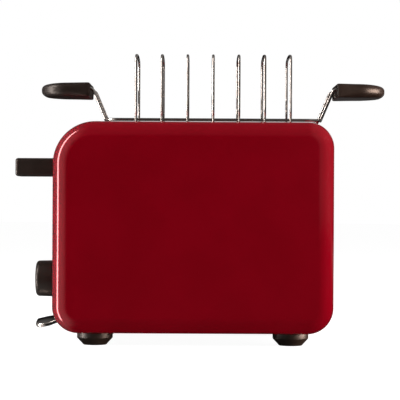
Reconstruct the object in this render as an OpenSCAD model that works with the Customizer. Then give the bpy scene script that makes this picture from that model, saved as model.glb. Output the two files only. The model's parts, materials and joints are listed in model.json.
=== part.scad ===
// Two-slot pop-up toaster with a lift-off wire warming rack. Millimetres.
// +X runs from the lever end to the far end, +Y from front to back, +Z up.
// The origin is on the table, under the middle of the whole outline.

/* [Body] */
// Width of the body, from the lever end to the far end
body_w = 262; // [235:1:320]
// Depth of the body, from front to back
body_d = 180; // [166:1:220]
// Height of the body without its feet
body_h = 197.5; // [192:0.5:230]
// Rounding between the front or rear face and the sides
edge_r = 15.5; // [8:0.5:17]
// Corner radius of the outline
corner_r = 24.5; // [21:0.5:30]
// Corner radius at the top of the lever end
lever_corner_r = 40; // [34:0.5:46]
// Wall of the front and rear covers
shell_wall = 2.4; // [1.8:0.1:3.2]
// Wall of the two end panels
panel_wall = 2; // [1.5:0.1:2.6]
// Width of the band between the front and rear covers
band_w = 104; // [102:1:112]
// Joint line between two neighbouring covers
seam = 0.4; // [0.2:0.1:0.8]
// Thickness of the base plate
base_t = 3; // [2:0.1:4]

/* [Feet] */
// Height of a foot
foot_h = 11.7; // [9:0.1:16]
// Diameter of a foot under the body
foot_d = 33.6; // [28:0.2:36]
// Diameter of a foot on the table
foot_tip_d = 22.5; // [16:0.5:26]
// Height of the sloping part of a foot
foot_slope_h = 6.3; // [4:0.1:7.5]
// Distance of a foot's middle from the end of the body
foot_inset_x = 39; // [38:0.5:46]
// Distance of a foot's middle from the front or rear face
foot_inset_y = 32; // [31:0.5:38]

/* [Toast slots] */
// Length of a toast slot
slot_l = 142; // [130:1:146]
// Width of a toast slot
slot_w = 28; // [24:0.5:29]
// Distance of a slot's middle from the middle of the body
slot_y = 20; // [18:0.5:20]
// Corner radius of a slot
slot_r = 5; // [2:0.5:8]
// Depth of the lip folded down round a slot
slot_lip_h = 5; // [3:0.5:6]
// Sheet thickness of the top plate
top_t = 1.2; // [0.8:0.1:1.6]
// Depth of the fold along the top plate's long sides
top_fold_h = 8; // [5:0.5:12]

/* [Chamber] */
// Distance of the toasting chamber and the rack from the middle of the body
chamber_shift = 18.5; // [14:0.1:22]
// Inside length of the toasting chamber
chamber_l = 158; // [152:1:160]
// Sheet thickness of the chassis plates
chassis_t = 1.2; // [1:0.1:2]
// Width of the chassis plates
chassis_w = 100; // [97:1:101]
// Sheet thickness of the heat shields
shield_t = 0.6; // [0.5:0.1:1]
// Distance of a heat shield from the middle
shield_y = 46; // [43:0.5:47]
// Thickness of a heater's mica board
mica_t = 1; // [0.8:0.1:1.4]
// Distance of the outer heaters' inner face from the middle
heater_y = 38.5; // [37.5:0.5:40]
// Height of the lower edge of the heaters above the base plate
heater_lift = 33; // [28:1:40]
// Height of a mica board
heater_h = 138; // [110:1:142]
// Number of ribbon turns on a heater
ribbon_count = 12; // [8:1:14]
// Width of the heating ribbon
ribbon_w = 2; // [1.5:0.1:3]
// Thickness of the heating ribbon
ribbon_t = 0.3; // [0.2:0.05:0.4]

/* [Bread guards] */
// Distance of a guard from the middle of its slot
guard_y = 12.3; // [10:0.1:12.6]
// Height of a guard's pivot above the base plate
guard_lift = 29; // [26:0.5:34]
// Height of a guard above its pivot
guard_h = 156; // [140:1:157]
// Diameter of a guard's pivot wire
guard_pivot_d = 2; // [1.9:0.1:2.4]
// Diameter of a guard's upright wires
guard_wire_d = 1.6; // [1.2:0.1:1.7]
// Number of upright wires in a guard
guard_wires = 8; // [5:1:11]

/* [Carriage] */
// Travel of the lever from its rest down to the toasting position
lever_drop = 62; // [50:1:64]
// Extra travel of the lever above its rest, to lift small pieces out
lever_raise = 12; // [6:1:13]
// Height of the bread rack at rest above the base plate
bread_lift = 115.3; // [110:0.1:118]
// Width of a bread rack
bread_rack_w = 14; // [8:0.5:15]
// Sheet thickness of a bread rack
bread_rack_t = 1.2; // [0.8:0.1:1.6]
// Depth of the bread rack's rib
bread_rib_h = 8; // [6:0.5:9]
// Diameter of the guide rod
rod_d = 5; // [4:0.1:6]
// Distance of the guide rod from the chassis plate
rod_gap = 19.3; // [18:0.1:24]
// Running clearance of a sliding or turning fit, on the radius
fit = 0.05; // [0.02:0.01:0.08]
// Outside diameter of the return spring
spring_d = 11.6; // [10:0.1:12.4]
// Wire diameter of the return spring
spring_wire_d = 1.3; // [0.8:0.1:1.5]
// Number of turns of the return spring
spring_turns = 12; // [8:1:14]

/* [Lever handle] */
// Height of the lever handle's middle above the table
lever_z = 167.2; // [163:0.1:170]
// How far the lever handle reaches out of the body
lever_out = 41.6; // [34:0.1:54]
// Thickness of the lever handle
lever_h = 17.6; // [14:0.1:20]
// Width of the lever handle
lever_w = 34; // [24:1:40]
// Corner radius of the lever handle
lever_r = 3; // [1.5:0.5:5]
// Thickness of the lever's stem
stem_t = 4; // [3:0.1:5]
// Height of the lever's stem
stem_h = 10; // [8:0.5:11]

/* [Browning knob] */
// Diameter of the knob
knob_d = 35.4; // [30:0.2:37]
// How far the knob reaches out of the body
knob_out = 23; // [18:0.5:26]
// Height of the knob's middle above the table
knob_z = 59; // [57:0.5:61]
// Rounding of the knob's outer edge
knob_r = 3.4; // [1:0.1:5]
// Diameter of the knob's shaft
knob_shaft_d = 6; // [5:0.1:6.2]

/* [Buttons] */
// Diameter of a push button
button_d = 11; // [9:0.1:11.6]
// How far a button stands out of the panel
button_out = 1.6; // [1.2:0.1:2.5]
// Travel of a button
button_travel = 1; // [0.6:0.1:1]
// Distance of the buttons from the middle
button_y = 33; // [31:0.5:35]
// Height of the lowest button above the table
button_z = 104; // [101:1:108]
// Distance between two buttons
button_pitch = 20; // [16:0.5:21]

/* [Crumb tray] */
// Inside space between the base plate's runners and the tray
tray_gap = 0.2; // [0.1:0.05:0.3]
// Sheet thickness of the tray
tray_t = 0.8; // [0.6:0.1:1]
// Width of the tray
tray_w = 80; // [70:1:81]
// Height of the tray's rim
tray_h = 5; // [4:0.5:5.5]
// Width of the tray's pull
pull_w = 60; // [40:1:70]
// How far the pull reaches out of the body
pull_out = 20.4; // [14:0.2:26]
// Thickness of the pull
pull_t = 3.8; // [3:0.1:4.2]
// Height of the pull's middle above the base plate, where it leaves the body
pull_lift = 4.6; // [3.8:0.1:5.2]
// Downward slope of the pull, in degrees
pull_slope = 13.5; // [8:0.5:14]
// Corner radius of the pull's outer edge, seen from above
pull_r = 9; // [4:0.5:14]

/* [Warming rack] */
// Number of hoop-shaped fins
fin_count = 7; // [4:1:7]
// Distance between two fins
fin_pitch = 24.6; // [16:0.1:25]
// Diameter of a fin's wire
fin_d = 2; // [1.6:0.1:2.4]
// Distance of a fin's legs from the middle
fin_y = 38; // [37:0.1:39]
// Height of the fins above the top plate
fin_h = 68.5; // [50:0.1:80]
// Bend radius of a fin's corners
fin_r = 7; // [5:0.5:20]
// Radius of a fin's gently arched top
crown_r = 245; // [110:5:300]
// Diameter of the frame's wire
rail_d = 2.6; // [1.8:0.1:2.8]
// Height of the rails' middle above the top plate
rail_z = 4.5; // [4.2:0.1:8]
// Half the length of the frame at its corners
rail_half = 103.2; // [90:0.1:104]
// Bend radius of the frame's corners
rail_r = 12; // [8:0.5:14]
// Height of the handles' middle above the top plate
handle_z = 32.7; // [26:0.1:40]
// Lean of the handle wires, in degrees from upright
handle_lean = 23; // [15:0.5:30]
// Bend radius where a handle wire turns into its handle
handle_bend_r = 5; // [4:0.5:9]
// Thickness of a handle
handle_t = 13.4; // [11:0.2:15]
// Width of a handle
handle_w = 61; // [56:1:66]
// Half the distance between the two handles' outer ends
handle_half = 166.6; // [160:0.1:180]
// Half the distance between the two handles' inner ends
handle_inner = 119.7; // [119.6:0.1:126]
// Edge rounding of a handle
handle_edge_r = 5; // [3:0.5:5.2]
// Edge rounding of a handle at its flat inner end
handle_inner_r = 1.5; // [0.8:0.1:3]
// Height of the wires above a handle's middle
handle_wire_lift = 1.5; // [0:0.1:2]
// Corner radius of a handle's outer end
handle_corner_r = 24; // [14:0.5:27]

/* [Control parts] */
// Distance between the lever-end panel and the control board
board_gap = 13; // [12:0.1:14.5]
// Thickness of the control board
board_t = 1.6; // [1.2:0.1:2]
// Bore of the cord gland
cord_bore_d = 7.6; // [6:0.1:9]
// Diameter of the cord gland's flange
gland_d = 18; // [15:0.5:20]

/* [Hidden] */
$fn = 48;
tiny = 0.01; // how far two shapes of one piece reach into each other
over = 1; // how far a cut runs past the wall it goes through
clear = 0.3; // between pieces that may touch but don't move past each other
gap = 0.6; // between pieces that move past each other

// places along X
body_x = (body_w / 2 + lever_out - chamber_shift - handle_half) / 2;
left_x = body_x - body_w / 2;
right_x = body_x + body_w / 2;
chamber_x = body_x + chamber_shift;
chamber_left_x = chamber_x - chamber_l / 2;
plate_left_x = chamber_left_x - chassis_t;
plate_right_x = chamber_x + chamber_l / 2;
rod_x = plate_left_x - rod_gap;
board_x = left_x + panel_wall + board_gap;
board_back_x = board_x + board_t;

// heights
bottom_z = foot_h;
floor_z = bottom_z + base_t;
top_z = bottom_z + body_h;
under_top_z = top_z - top_t;
heater_z = floor_z + heater_lift;
guard_z = floor_z + guard_lift;
bread_z = floor_z + bread_lift;

// covers and end panels
cover_depth = (body_d - band_w) / 2;
panel_w = band_w - 2 * seam;
lug_h = 5;
lug_l = 12; // from the corner's centre inwards
lug_step = 1; // from the lug's side to the panel's side
lug_cap = 1; // closed top of a lug's screw hole
lug_screw_y = 46.8;
lug_screw_x = body_w / 2 - corner_r - 7;

// screws
screw_r = 1.6;
pilot_r = 1.3;
screw_play = 0.2;
screw_head_r = 3.2;
screw_head_h = 2;
boss_r = 4;
boss_h = 24;
boss_cap = 2; // closed top of a screw boss
rib_t = 2;
shell_screw_x = 60;
shell_screw_y = body_d / 2 - edge_r - 8;
screw_places = [
    for (x = [-1, 1], y = [-1, 1]) [body_x + x * shell_screw_x, y * shell_screw_y],
    for (x = [-1, 1], y = [-1, 1]) [body_x + x * lug_screw_x, y * lug_screw_y]
];

// base plate and feet
foot_places = [
    for (x = [-1, 1], y = [-1, 1]) [body_x + x * (body_w / 2 - foot_inset_x), y * (body_d / 2 - foot_inset_y)]
];
foot_boss_h = 7;
foot_recess_r = 5;
foot_recess_h = 5;
foot_screw_end = 2.5; // from the screw's tip to the top of its boss
vent_l = 24;
vent_w = 3;
vent_pitch = 14;
runner_w = 3;
runner_h = 1.5;
runner_inset = 10; // from the tray's side
runner_y = tray_w / 2 - runner_inset;

// bread guards
pivot_over = 1.5; // how far a pivot wire runs past a chassis plate

// heaters
ribbon_pitch = heater_h / (ribbon_count + 1);
ribbon_inset = 3; // from a board's end to the middle of its notches

// crumb tray
tray_z = floor_z + runner_h + tray_gap;
tray_top_z = tray_z + tray_h;
tray_start = left_x + corner_r - 9;
tray_end = plate_right_x - 2;
opening_lift = 0.8; // above the base plate's top
opening_h = 9.8;
opening_w = tray_w + 3.2;
opening_play = 0.6; // round the tray's front plate

// chassis tabs that hold the guide rod
tab_t = 1.2;
tab_w = 18;
tab_reach = rod_gap + 8;
tab_low_z = tray_top_z + 4;
tab_high_z = under_top_z - 10;

// carriage
sleeve_r = rod_d / 2 + 3;
sleeve_drop = 1.4; // from the cross plate's lower edge to the sleeve's lower end
sleeve_rise = 2; // from the stem's upper edge to the sleeve's upper end
bracket_t = 1.5;
bracket_gap = 9.3; // between the cross plate and the chassis, for the magnet
bracket_x = plate_left_x - bracket_gap - bracket_t;
bracket_low_z = bread_z - bread_rack_t - bread_rib_h - 1.8;
bracket_high_z = bread_z + 2;
bracket_half_w = slot_y + 6;
bracket_web_w = 6;
sleeve_low_z = bracket_low_z - sleeve_drop;
neck_play = 0.6;
tooth_h = 3;
tooth_t = 1;
tooth_count = 9;
stem_play = 0.75;
stem_depth = 14; // how deep the stem sits in the lever handle
handle_gap = 1.5; // between the panel and the lever handle

// holding magnet
armature_t = 3;
armature_w = 16;
armature_z = bracket_low_z - armature_t;
yoke_lift = 3; // above the lower chassis tab
yoke_t = 4;
yoke_z = tab_low_z + yoke_lift;
post_w = 4;
magnet_x = bracket_x + bracket_t + 1.6;
magnet_l = plate_left_x - magnet_x;
post_inset = 1;
post_l = magnet_l - 3 * post_inset;
coil_wrap = 1.8;
coil_gap = 3; // between the coils and the armature when it is down

// knob
knob_gap = 4; // between the panel and the knob
knob_bore_depth = 12;
knob_dome = 1; // rise of the slightly domed outer face
knob_taper = 0.4;
collar_t = 3;
collar_w = 8;
collar_rim = 2; // how far the collar shows round the knob
pot_neck_r = knob_shaft_d / 2 + 1.5;
pot_neck_l = 9;
pot_size = 17;
pot_depth = 9;
pot_wall = 2;

// buttons and lamps
button_count = 3;
button_play = 0.2;
button_flange_r = button_d / 2 + 1;
button_flange_t = 1.5;
button_stem_r = 1.5;
button_edge = 0.6;
switch_h = 4;
switch_w = 6;
plunger_h = 1;
plunger_r = 1.6;
lamp_r = 1.5;
lamp_y = 23;

// control board
board_low_z = knob_z - 23;
board_mid_z = knob_z + 37;
board_high_z = button_z + 2 * button_pitch + 14;
board_half_w = 46;
board_arm_y = 12;
standoff_r = 3.5;
standoff_y = 40;
standoffs = [
    [-standoff_y, board_low_z + 6], [standoff_y, board_low_z + 6],
    [standoff_y, board_mid_z - 6], [-standoff_y, board_high_z - 5]
];

// cord gland and terminal block
gland_y = 32;
gland_z = bottom_z + corner_r + 12;
gland_flange_t = 3;
gland_neck_r = gland_d / 2 - 3;
gland_nut_t = 4;
gland_thread = 2; // how far the neck reaches past its nut
terminal_size = [11, 22, 14];
terminal_pitch = 7;
terminal_hole_r = 1.8;

// warming rack
rack_gap = clear; // between the fins' feet and the top plate
weld = 0.1; // how far the frame's wire and a fin's leg are pressed into each other
rail_y = fin_y - fin_d / 2 - rail_d / 2 + weld;
bead = 0.05; // how far a joint bead stands proud of its wire
twist_r = 2.5; // bend from the frame's corner up into the handle wire
handle_wire_y = rail_y - rail_r - twist_r - bead;
wire_depth = 12; // how deep a handle wire sits in its handle

red = [0.45, 0.01, 0.06];
near_black = [0.12, 0.09, 0.08];
steel = [0.75, 0.75, 0.76];
zinc = [0.62, 0.63, 0.65];

// ---------- shared shapes ----------

// rectangle with four round corners, from its lower left corner
module rounded_rect(w, h, r) {
    translate([r, 0]) square([w - 2 * r, h]);
    translate([0, r]) square([w, h - 2 * r]);
    for (x = [r, w - r], y = [r, h - r]) translate([x, y]) circle(r);
}

// block rounded in plan and in side view, from the middle of its -X face
module soft_block(l, w, h, plan_r, side_r) {
    intersection() {
        translate([0, -w / 2, -h / 2]) linear_extrude(h) rounded_rect(l, w, plan_r);
        translate([0, w / 2, -h / 2]) rotate([90, 0, 0]) linear_extrude(w) rounded_rect(l, h, side_r);
    }
}

// a rod along X from x = 0
module rod_x_axis(l, r) {
    rotate([0, 90, 0]) cylinder(h = l, r = r);
}

// lays an X-Z outline down as a solid of width w, centred on Y = 0
module across_y(w) {
    translate([0, w / 2, 0]) rotate([90, 0, 0]) linear_extrude(w) children();
}

// ---------- front and rear covers ----------

// section of a cover's rim: x runs out from the corner's centre, y is the depth from the face
module rim_outline(reach, depth, r) {
    square([reach - r, depth]);
    intersection() {
        translate([reach - r, r]) circle(r);
        square([reach, depth]);
    }
    if (depth > r) translate([0, r]) square([reach, depth - r]);
}

module rim_section(reach, depth) {
    difference() {
        rim_outline(reach, depth, edge_r);
        translate([-over, shell_wall]) square([reach - edge_r + over, depth]);
        translate([0, shell_wall]) rim_outline(reach - shell_wall, depth, edge_r - shell_wall);
    }
}

module rim_corner(x, y, start, r) {
    translate([x, y, 0]) rotate([0, 0, start]) rotate_extrude(angle = 90) rim_section(r, cover_depth);
}

// straight rim of length l, its outer side facing the direction given by turn
module rim_edge(x, y, turn, l, depth) {
    translate([x, y, 0]) rotate([0, 0, turn]) rotate([90, 0, 0]) linear_extrude(l)
        rim_section(corner_r, depth);
}

// the cover lies face down: x along the body, y up the body, z the depth
module cover_pan() {
    half = body_w / 2;
    rim_corner(half - corner_r, body_h - corner_r, 0, corner_r);
    rim_corner(-half + lever_corner_r, body_h - lever_corner_r, 90, lever_corner_r);
    rim_corner(-half + corner_r, corner_r, 180, corner_r);
    rim_corner(half - corner_r, corner_r, 270, corner_r);
    rim_edge(half - corner_r, body_h - corner_r, 0, body_h - 2 * corner_r, cover_depth);
    rim_edge(-half + lever_corner_r, body_h - corner_r, 90, body_w - corner_r - lever_corner_r,
             cover_depth);
    rim_edge(-half + corner_r, corner_r, 180, body_h - corner_r - lever_corner_r, cover_depth);
    rim_edge(half - corner_r, corner_r, 270, body_w - 2 * corner_r, edge_r);
    translate([-half + corner_r, corner_r, 0])
        cube([body_w - 2 * corner_r, body_h - corner_r - lever_corner_r, shell_wall]);
    translate([-half + lever_corner_r, body_h - lever_corner_r, 0])
        cube([body_w - corner_r - lever_corner_r, lever_corner_r - corner_r, shell_wall]);
}

// two screw bosses of the rear cover, tied to its face by a rib
module cover_bosses() {
    for (side = [-1, 1]) translate([body_x + side * shell_screw_x, shell_screw_y, floor_z]) {
        difference() {
            union() {
                cylinder(h = boss_h, r = boss_r);
                translate([-rib_t / 2, 0, edge_r - base_t])
                    cube([rib_t, body_d / 2 - shell_wall / 2 - shell_screw_y, boss_h + base_t - edge_r]);
            }
            translate([0, 0, -over]) cylinder(h = over + boss_h - boss_cap, r = pilot_r);
        }
    }
}

module rear_cover() {
    color(red) {
        translate([body_x, body_d / 2, bottom_z]) rotate([90, 0, 0]) cover_pan();
        cover_bosses();
    }
}

module front_cover() {
    mirror([0, 1, 0]) rear_cover();
}

// ---------- band between the covers ----------

// one quarter of a ring, its square corner at the ring's centre
module quarter_ring(r, wall, turn) {
    rotate(turn) intersection() {
        difference() {
            circle(r);
            circle(r - wall);
        }
        square(r);
    }
}

// outline of an end panel, x outwards from the body's middle, y up from the body's bottom
module panel_outline(half, low_r, high_r) {
    translate([half - low_r, low_r]) quarter_ring(low_r, panel_wall, -90);
    translate([half - panel_wall, low_r]) square([panel_wall, body_h - low_r - high_r]);
    translate([half - high_r, body_h - high_r]) quarter_ring(high_r, panel_wall, 0);
}

// foot of an end panel that the base screws hold
module panel_lug() {
    centre_x = body_w / 2 - corner_r;
    translate([centre_x - lug_l, base_t]) square([lug_l + tiny, lug_h]);
    intersection() {
        translate([centre_x, base_t]) square([corner_r, lug_h]);
        translate([centre_x, corner_r]) circle(corner_r - panel_wall / 2);
    }
}

module end_panel(high_r) {
    across_y(panel_w) panel_outline(body_w / 2, corner_r, high_r);
    lug_side = band_w / 2 - lug_step;
    lug_w = lug_side - opening_w / 2 - gap;
    for (side = [-1, 1]) difference() {
        translate([0, side * (lug_side - lug_w / 2), 0]) across_y(lug_w) panel_lug();
        translate([lug_screw_x, side * lug_screw_y, 0])
            cylinder(h = base_t + lug_h - lug_cap, r = pilot_r);
    }
}

module lever_end_panel() {
    color(red) difference() {
        union() {
            translate([body_x, 0, bottom_z]) mirror([1, 0, 0]) end_panel(lever_corner_r);
            for (p = standoffs) translate([left_x + panel_wall - tiny, p[0], p[1]])
                rod_x_axis(board_gap + tiny, standoff_r);
        }
        for (p = standoffs) translate([left_x + 2 * panel_wall, p[0], p[1]])
            rod_x_axis(board_gap, pilot_r);
        // lever slot
        slot_low = lever_z - lever_drop - stem_h / 2 - 2 * gap;
        slot_high = lever_z + lever_raise + stem_h / 2 + 2 * gap;
        translate([left_x - over, -stem_t / 2 - stem_play, slot_low])
            cube([lever_corner_r / 2, stem_t + 2 * stem_play, slot_high - slot_low]);
        // knob shaft
        translate([left_x - over, 0, knob_z]) rod_x_axis(panel_wall + 2 * over, knob_shaft_d / 2 + gap);
        // buttons and lamps
        for (i = [0 : button_count - 1]) {
            translate([left_x - over, -button_y, button_z + i * button_pitch])
                rod_x_axis(panel_wall + 2 * over, button_d / 2 + button_play);
            translate([left_x - over, -lamp_y, button_z + i * button_pitch])
                rod_x_axis(panel_wall + 2 * over, lamp_r);
        }
        // crumb tray
        translate([left_x - over, -opening_w / 2, floor_z + opening_lift])
            cube([corner_r + over, opening_w, opening_h]);
    }
}

module far_end_panel() {
    color(red) difference() {
        translate([body_x, 0, bottom_z]) end_panel(corner_r);
        translate([right_x - panel_wall - over, gland_y, gland_z])
            rod_x_axis(panel_wall + 2 * over, gland_neck_r);
    }
}

module top_plate() {
    plate_x = left_x + lever_corner_r + seam / 2;
    plate_l = body_w - lever_corner_r - corner_r - seam;
    slot_x = chamber_x - slot_l / 2;
    lip_t = 0.8;
    color(steel) difference() {
        union() {
            translate([plate_x, -panel_w / 2, under_top_z]) cube([plate_l, panel_w, top_t]);
            for (side = [-1, 1]) translate([slot_x - lip_t, side * slot_y - slot_w / 2 - lip_t, 0])
                translate([0, 0, under_top_z - slot_lip_h]) linear_extrude(slot_lip_h + tiny)
                rounded_rect(slot_l + 2 * lip_t, slot_w + 2 * lip_t, slot_r + lip_t);
            for (side = [0, 1]) mirror([0, side, 0])
                translate([plate_x, panel_w / 2 - lip_t, top_z - top_fold_h])
                cube([plate_l, lip_t, top_fold_h - tiny]);
        }
        for (side = [-1, 1])
            translate([slot_x, side * slot_y - slot_w / 2, under_top_z - slot_lip_h - over])
            linear_extrude(slot_lip_h + top_t + 2 * over) rounded_rect(slot_l, slot_w, slot_r);
    }
}

// ---------- base and feet ----------

module base_plate() {
    plate_l = body_w - 2 * corner_r - 2 * seam;
    plate_w = body_d - 2 * edge_r - 2 * seam;
    runner_x = body_x - plate_l / 2 + 1;
    color(near_black) difference() {
        union() {
            translate([body_x - plate_l / 2, -plate_w / 2, bottom_z]) cube([plate_l, plate_w, base_t]);
            for (p = foot_places) translate([p[0], p[1], floor_z - tiny])
                cylinder(h = foot_boss_h, r = boss_r);
            for (side = [-1, 1]) translate([runner_x, side * runner_y - runner_w / 2, floor_z - tiny])
                cube([tray_end - runner_x, runner_w, runner_h + tiny]);
        }
        for (p = foot_places) translate([p[0], p[1], bottom_z - over])
            cylinder(h = over + base_t + foot_boss_h - boss_cap, r = pilot_r);
        for (p = screw_places) translate([p[0], p[1], bottom_z - over]) {
            cylinder(h = base_t + 2 * over, r = screw_r + screw_play);
            cylinder(h = over + screw_head_h, r = screw_head_r + screw_play);
        }
        for (i = [-2 : 2], side = [-1, 1])
            translate([chamber_x + i * vent_pitch, side * (vent_l + vent_w) / 2, bottom_z - over])
            translate([-vent_w / 2, -vent_l / 2, 0]) cube([vent_w, vent_l, base_t + 2 * over]);
    }
}

module foot(i) {
    tip_r = foot_tip_d / 2;
    edge = 0.6; // bevel round the tip
    color(near_black) translate([foot_places[i][0], foot_places[i][1], 0]) rotate_extrude()
        difference() {
            polygon([
                [0, 0], [tip_r - edge, 0], [tip_r, edge], [foot_d / 2, foot_slope_h],
                [foot_d / 2, bottom_z], [0, bottom_z]
            ]);
            square([foot_recess_r, foot_recess_h]);
            square([screw_r + screw_play, bottom_z + over]);
        }
}

module foot_front_lever_side() { foot(0); }
module foot_rear_lever_side() { foot(1); }
module foot_front_far_side() { foot(2); }
module foot_rear_far_side() { foot(3); }

// pan-head screw with a cross recess, its head's top at z = 0, pointing up
module screw(l) {
    cross_l = 4;
    cross_w = 0.8;
    difference() {
        union() {
            cylinder(h = screw_head_h, r = screw_head_r);
            cylinder(h = l, r = pilot_r - fit);
        }
        for (turn = [0, 90]) rotate(turn) translate([-cross_l / 2, -cross_w / 2, -over])
            cube([cross_l, cross_w, over + screw_head_h / 2]);
    }
}

module foot_screws() {
    low_z = foot_recess_h - screw_head_h;
    color(zinc) for (p = foot_places) translate([p[0], p[1], low_z])
        screw(floor_z + foot_boss_h - foot_screw_end - low_z);
}

module base_screws() {
    color(zinc) for (p = screw_places) translate([p[0], p[1], bottom_z]) screw(base_t + lug_h - 1.5);
}

// ---------- chassis ----------

// what both chassis plates share, its inner face towards the chamber
module chassis_plate(x) {
    difference() {
        translate([x, -chassis_w / 2, floor_z]) cube([chassis_t, chassis_w, under_top_z - floor_z]);
        for (side = [-1, 1]) {
            neck_low_z = bread_z - bread_rack_t - bread_rib_h - lever_drop - gap;
            translate([x - over, side * slot_y - bread_rack_t / 2 - neck_play, neck_low_z])
                cube([chassis_t + 2 * over, bread_rack_t + 2 * neck_play,
                      bread_z + lever_raise + gap - neck_low_z]);
            for (y = [-1, 1]) translate([x - over, side * slot_y + y * guard_y, guard_z])
                rod_x_axis(chassis_t + 2 * over, guard_pivot_d / 2 + fit);
        }
    }
}

module chassis_lever_end() {
    color(steel) {
        difference() {
            chassis_plate(plate_left_x);
            translate([plate_left_x - over, -opening_w / 2, floor_z - over])
                cube([chassis_t + 2 * over, opening_w, tray_top_z - floor_z + over + 2]);
        }
        for (z = [tab_low_z, tab_high_z]) difference() {
            translate([plate_left_x - tab_reach, -tab_w / 2, z]) cube([tab_reach + tiny, tab_w, tab_t]);
            translate([rod_x, 0, z - over]) cylinder(h = tab_t + 2 * over, r = rod_d / 2);
        }
    }
}

module chassis_far_end() {
    color(steel) difference() {
        chassis_plate(plate_right_x);
        // room for the far-end panel's lugs
        for (side = [0, 1]) mirror([0, side, 0])
            translate([plate_right_x - over, opening_w / 2, floor_z - over])
            cube([chassis_t + 2 * over, chassis_w, lug_h + over + gap]);
    }
}

module heat_shield(side) {
    fold = 5;
    low_play = 1;
    high_play = 2;
    low_z = floor_z + lug_h + low_play;
    high_z = under_top_z - top_fold_h - high_play;
    color(zinc) {
        translate([chamber_left_x, side * shield_y - shield_t / 2, low_z])
            cube([chamber_l, shield_t, high_z - low_z]);
        for (z = [low_z, high_z - shield_t])
            translate([chamber_left_x, side * (shield_y - fold / 2) - fold / 2, z])
            cube([chamber_l, fold, shield_t]);
    }
}

module heat_shield_front() { heat_shield(-1); }
module heat_shield_rear() { heat_shield(1); }

// a mica board with notched ends, its chamber-side face at y
module heater_board(y) {
    color([0.72, 0.66, 0.55]) difference() {
        translate([chamber_left_x, y, heater_z]) cube([chamber_l, mica_t, heater_h]);
        for (i = [1 : ribbon_count], side = [-1, 1])
            translate([chamber_x + side * (chamber_l / 2 - ribbon_inset), y, heater_z + i * ribbon_pitch])
            translate([-ribbon_w / 2, -over, -ribbon_w / 2]) cube([ribbon_w, mica_t + 2 * over, ribbon_w]);
    }
}

module heater_board_front() { heater_board(-heater_y - mica_t); }
module heater_board_center() { heater_board(-mica_t / 2); }
module heater_board_rear() { heater_board(heater_y); }

module heater_ribbons() {
    length = chamber_l - 2 * (ribbon_inset + ribbon_w / 2);
    faces = [-heater_y, -mica_t / 2 - ribbon_t, mica_t / 2, heater_y - ribbon_t];
    color([0.5, 0.46, 0.42]) for (y = faces, i = [1 : ribbon_count])
        translate([chamber_x - length / 2, y, heater_z + i * ribbon_pitch - ribbon_w / 2])
        cube([length, ribbon_t, ribbon_w]);
}

// ---------- bread guards ----------

module bread_guard(y) {
    pivot_l = chamber_l + 2 * (chassis_t + pivot_over);
    span = slot_l - 6;
    pitch = span / (guard_wires - 1);
    rail_r = guard_wire_d / 2 + 0.1;
    rail_over = 1.5; // how far a rail runs past the outer wires
    color(steel) translate([chamber_x, y, guard_z]) {
        translate([-pivot_l / 2, 0, 0]) rod_x_axis(pivot_l, guard_pivot_d / 2);
        for (i = [0 : guard_wires - 1]) translate([-span / 2 + i * pitch, 0, 0])
            cylinder(h = guard_h, r = guard_wire_d / 2);
        for (z = [guard_h / 2, guard_h]) translate([-span / 2 - rail_over, 0, z])
            rod_x_axis(span + 2 * rail_over, rail_r);
    }
}

module bread_guard_1() { bread_guard(-slot_y - guard_y); }
module bread_guard_2() { bread_guard(-slot_y + guard_y); }
module bread_guard_3() { bread_guard(slot_y - guard_y); }
module bread_guard_4() { bread_guard(slot_y + guard_y); }

// ---------- carriage ----------

module carriage_bracket() {
    stem_end = left_x - handle_gap - stem_depth;
    stem_start = rod_x - rod_d / 2 - 1;
    color(steel) difference() {
        union() {
            // cross plate behind both bread racks
            translate([bracket_x, -bracket_half_w, bracket_low_z])
                cube([bracket_t, 2 * bracket_half_w, bracket_high_z - bracket_low_z]);
            // sleeve on the guide rod
            translate([rod_x, 0, sleeve_low_z])
                cylinder(h = lever_z + stem_h / 2 + sleeve_rise - sleeve_low_z, r = sleeve_r);
            translate([rod_x, -bracket_web_w / 2, bracket_low_z])
                cube([bracket_x - rod_x + tiny, bracket_web_w, bracket_high_z - bracket_low_z]);
            // stem out to the lever handle
            translate([stem_end, -stem_t / 2, lever_z - stem_h / 2])
                cube([stem_start - stem_end, stem_t, stem_h]);
        }
        translate([rod_x, 0, sleeve_low_z - over])
            cylinder(h = lever_z + stem_h + 2 * over - sleeve_low_z, r = rod_d / 2 + fit);
    }
}

// a bread rack's flat bar with its comb teeth, and the rib that runs through both chassis plates
module bread_rack(side) {
    bar_l = chamber_l - 10;
    bar_x = chamber_x - bar_l / 2;
    rib_start = bracket_x + bracket_t;
    rib_end = plate_right_x + chassis_t + 3;
    tooth_inset = 6;
    pitch = (bar_l - 2 * tooth_inset) / (tooth_count - 1);
    color(steel) translate([0, side * slot_y, 0]) {
        translate([bar_x, -bread_rack_w / 2, bread_z - bread_rack_t])
            cube([bar_l, bread_rack_w, bread_rack_t]);
        translate([rib_start, -bread_rack_t / 2, bread_z - bread_rack_t - bread_rib_h])
            cube([rib_end - rib_start, bread_rack_t, bread_rib_h + tiny]);
        for (i = [0 : tooth_count - 1])
            translate([bar_x + tooth_inset + i * pitch - tooth_t / 2, -bread_rack_w / 2, bread_z - tiny])
            cube([tooth_t, bread_rack_w, tooth_h]);
    }
}

module bread_rack_front() { bread_rack(-1); }
module bread_rack_rear() { bread_rack(1); }

module armature_plate() {
    arm_x = bracket_x + bracket_t + gap;
    color(zinc) {
        translate([arm_x, slot_y - armature_w / 2, armature_z])
            cube([plate_left_x - arm_x - 2 * gap, armature_w, armature_t]);
        translate([bracket_x, slot_y - armature_w / 4, armature_z])
            cube([arm_x - bracket_x + tiny, armature_w / 2, armature_t]);
    }
}

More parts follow.
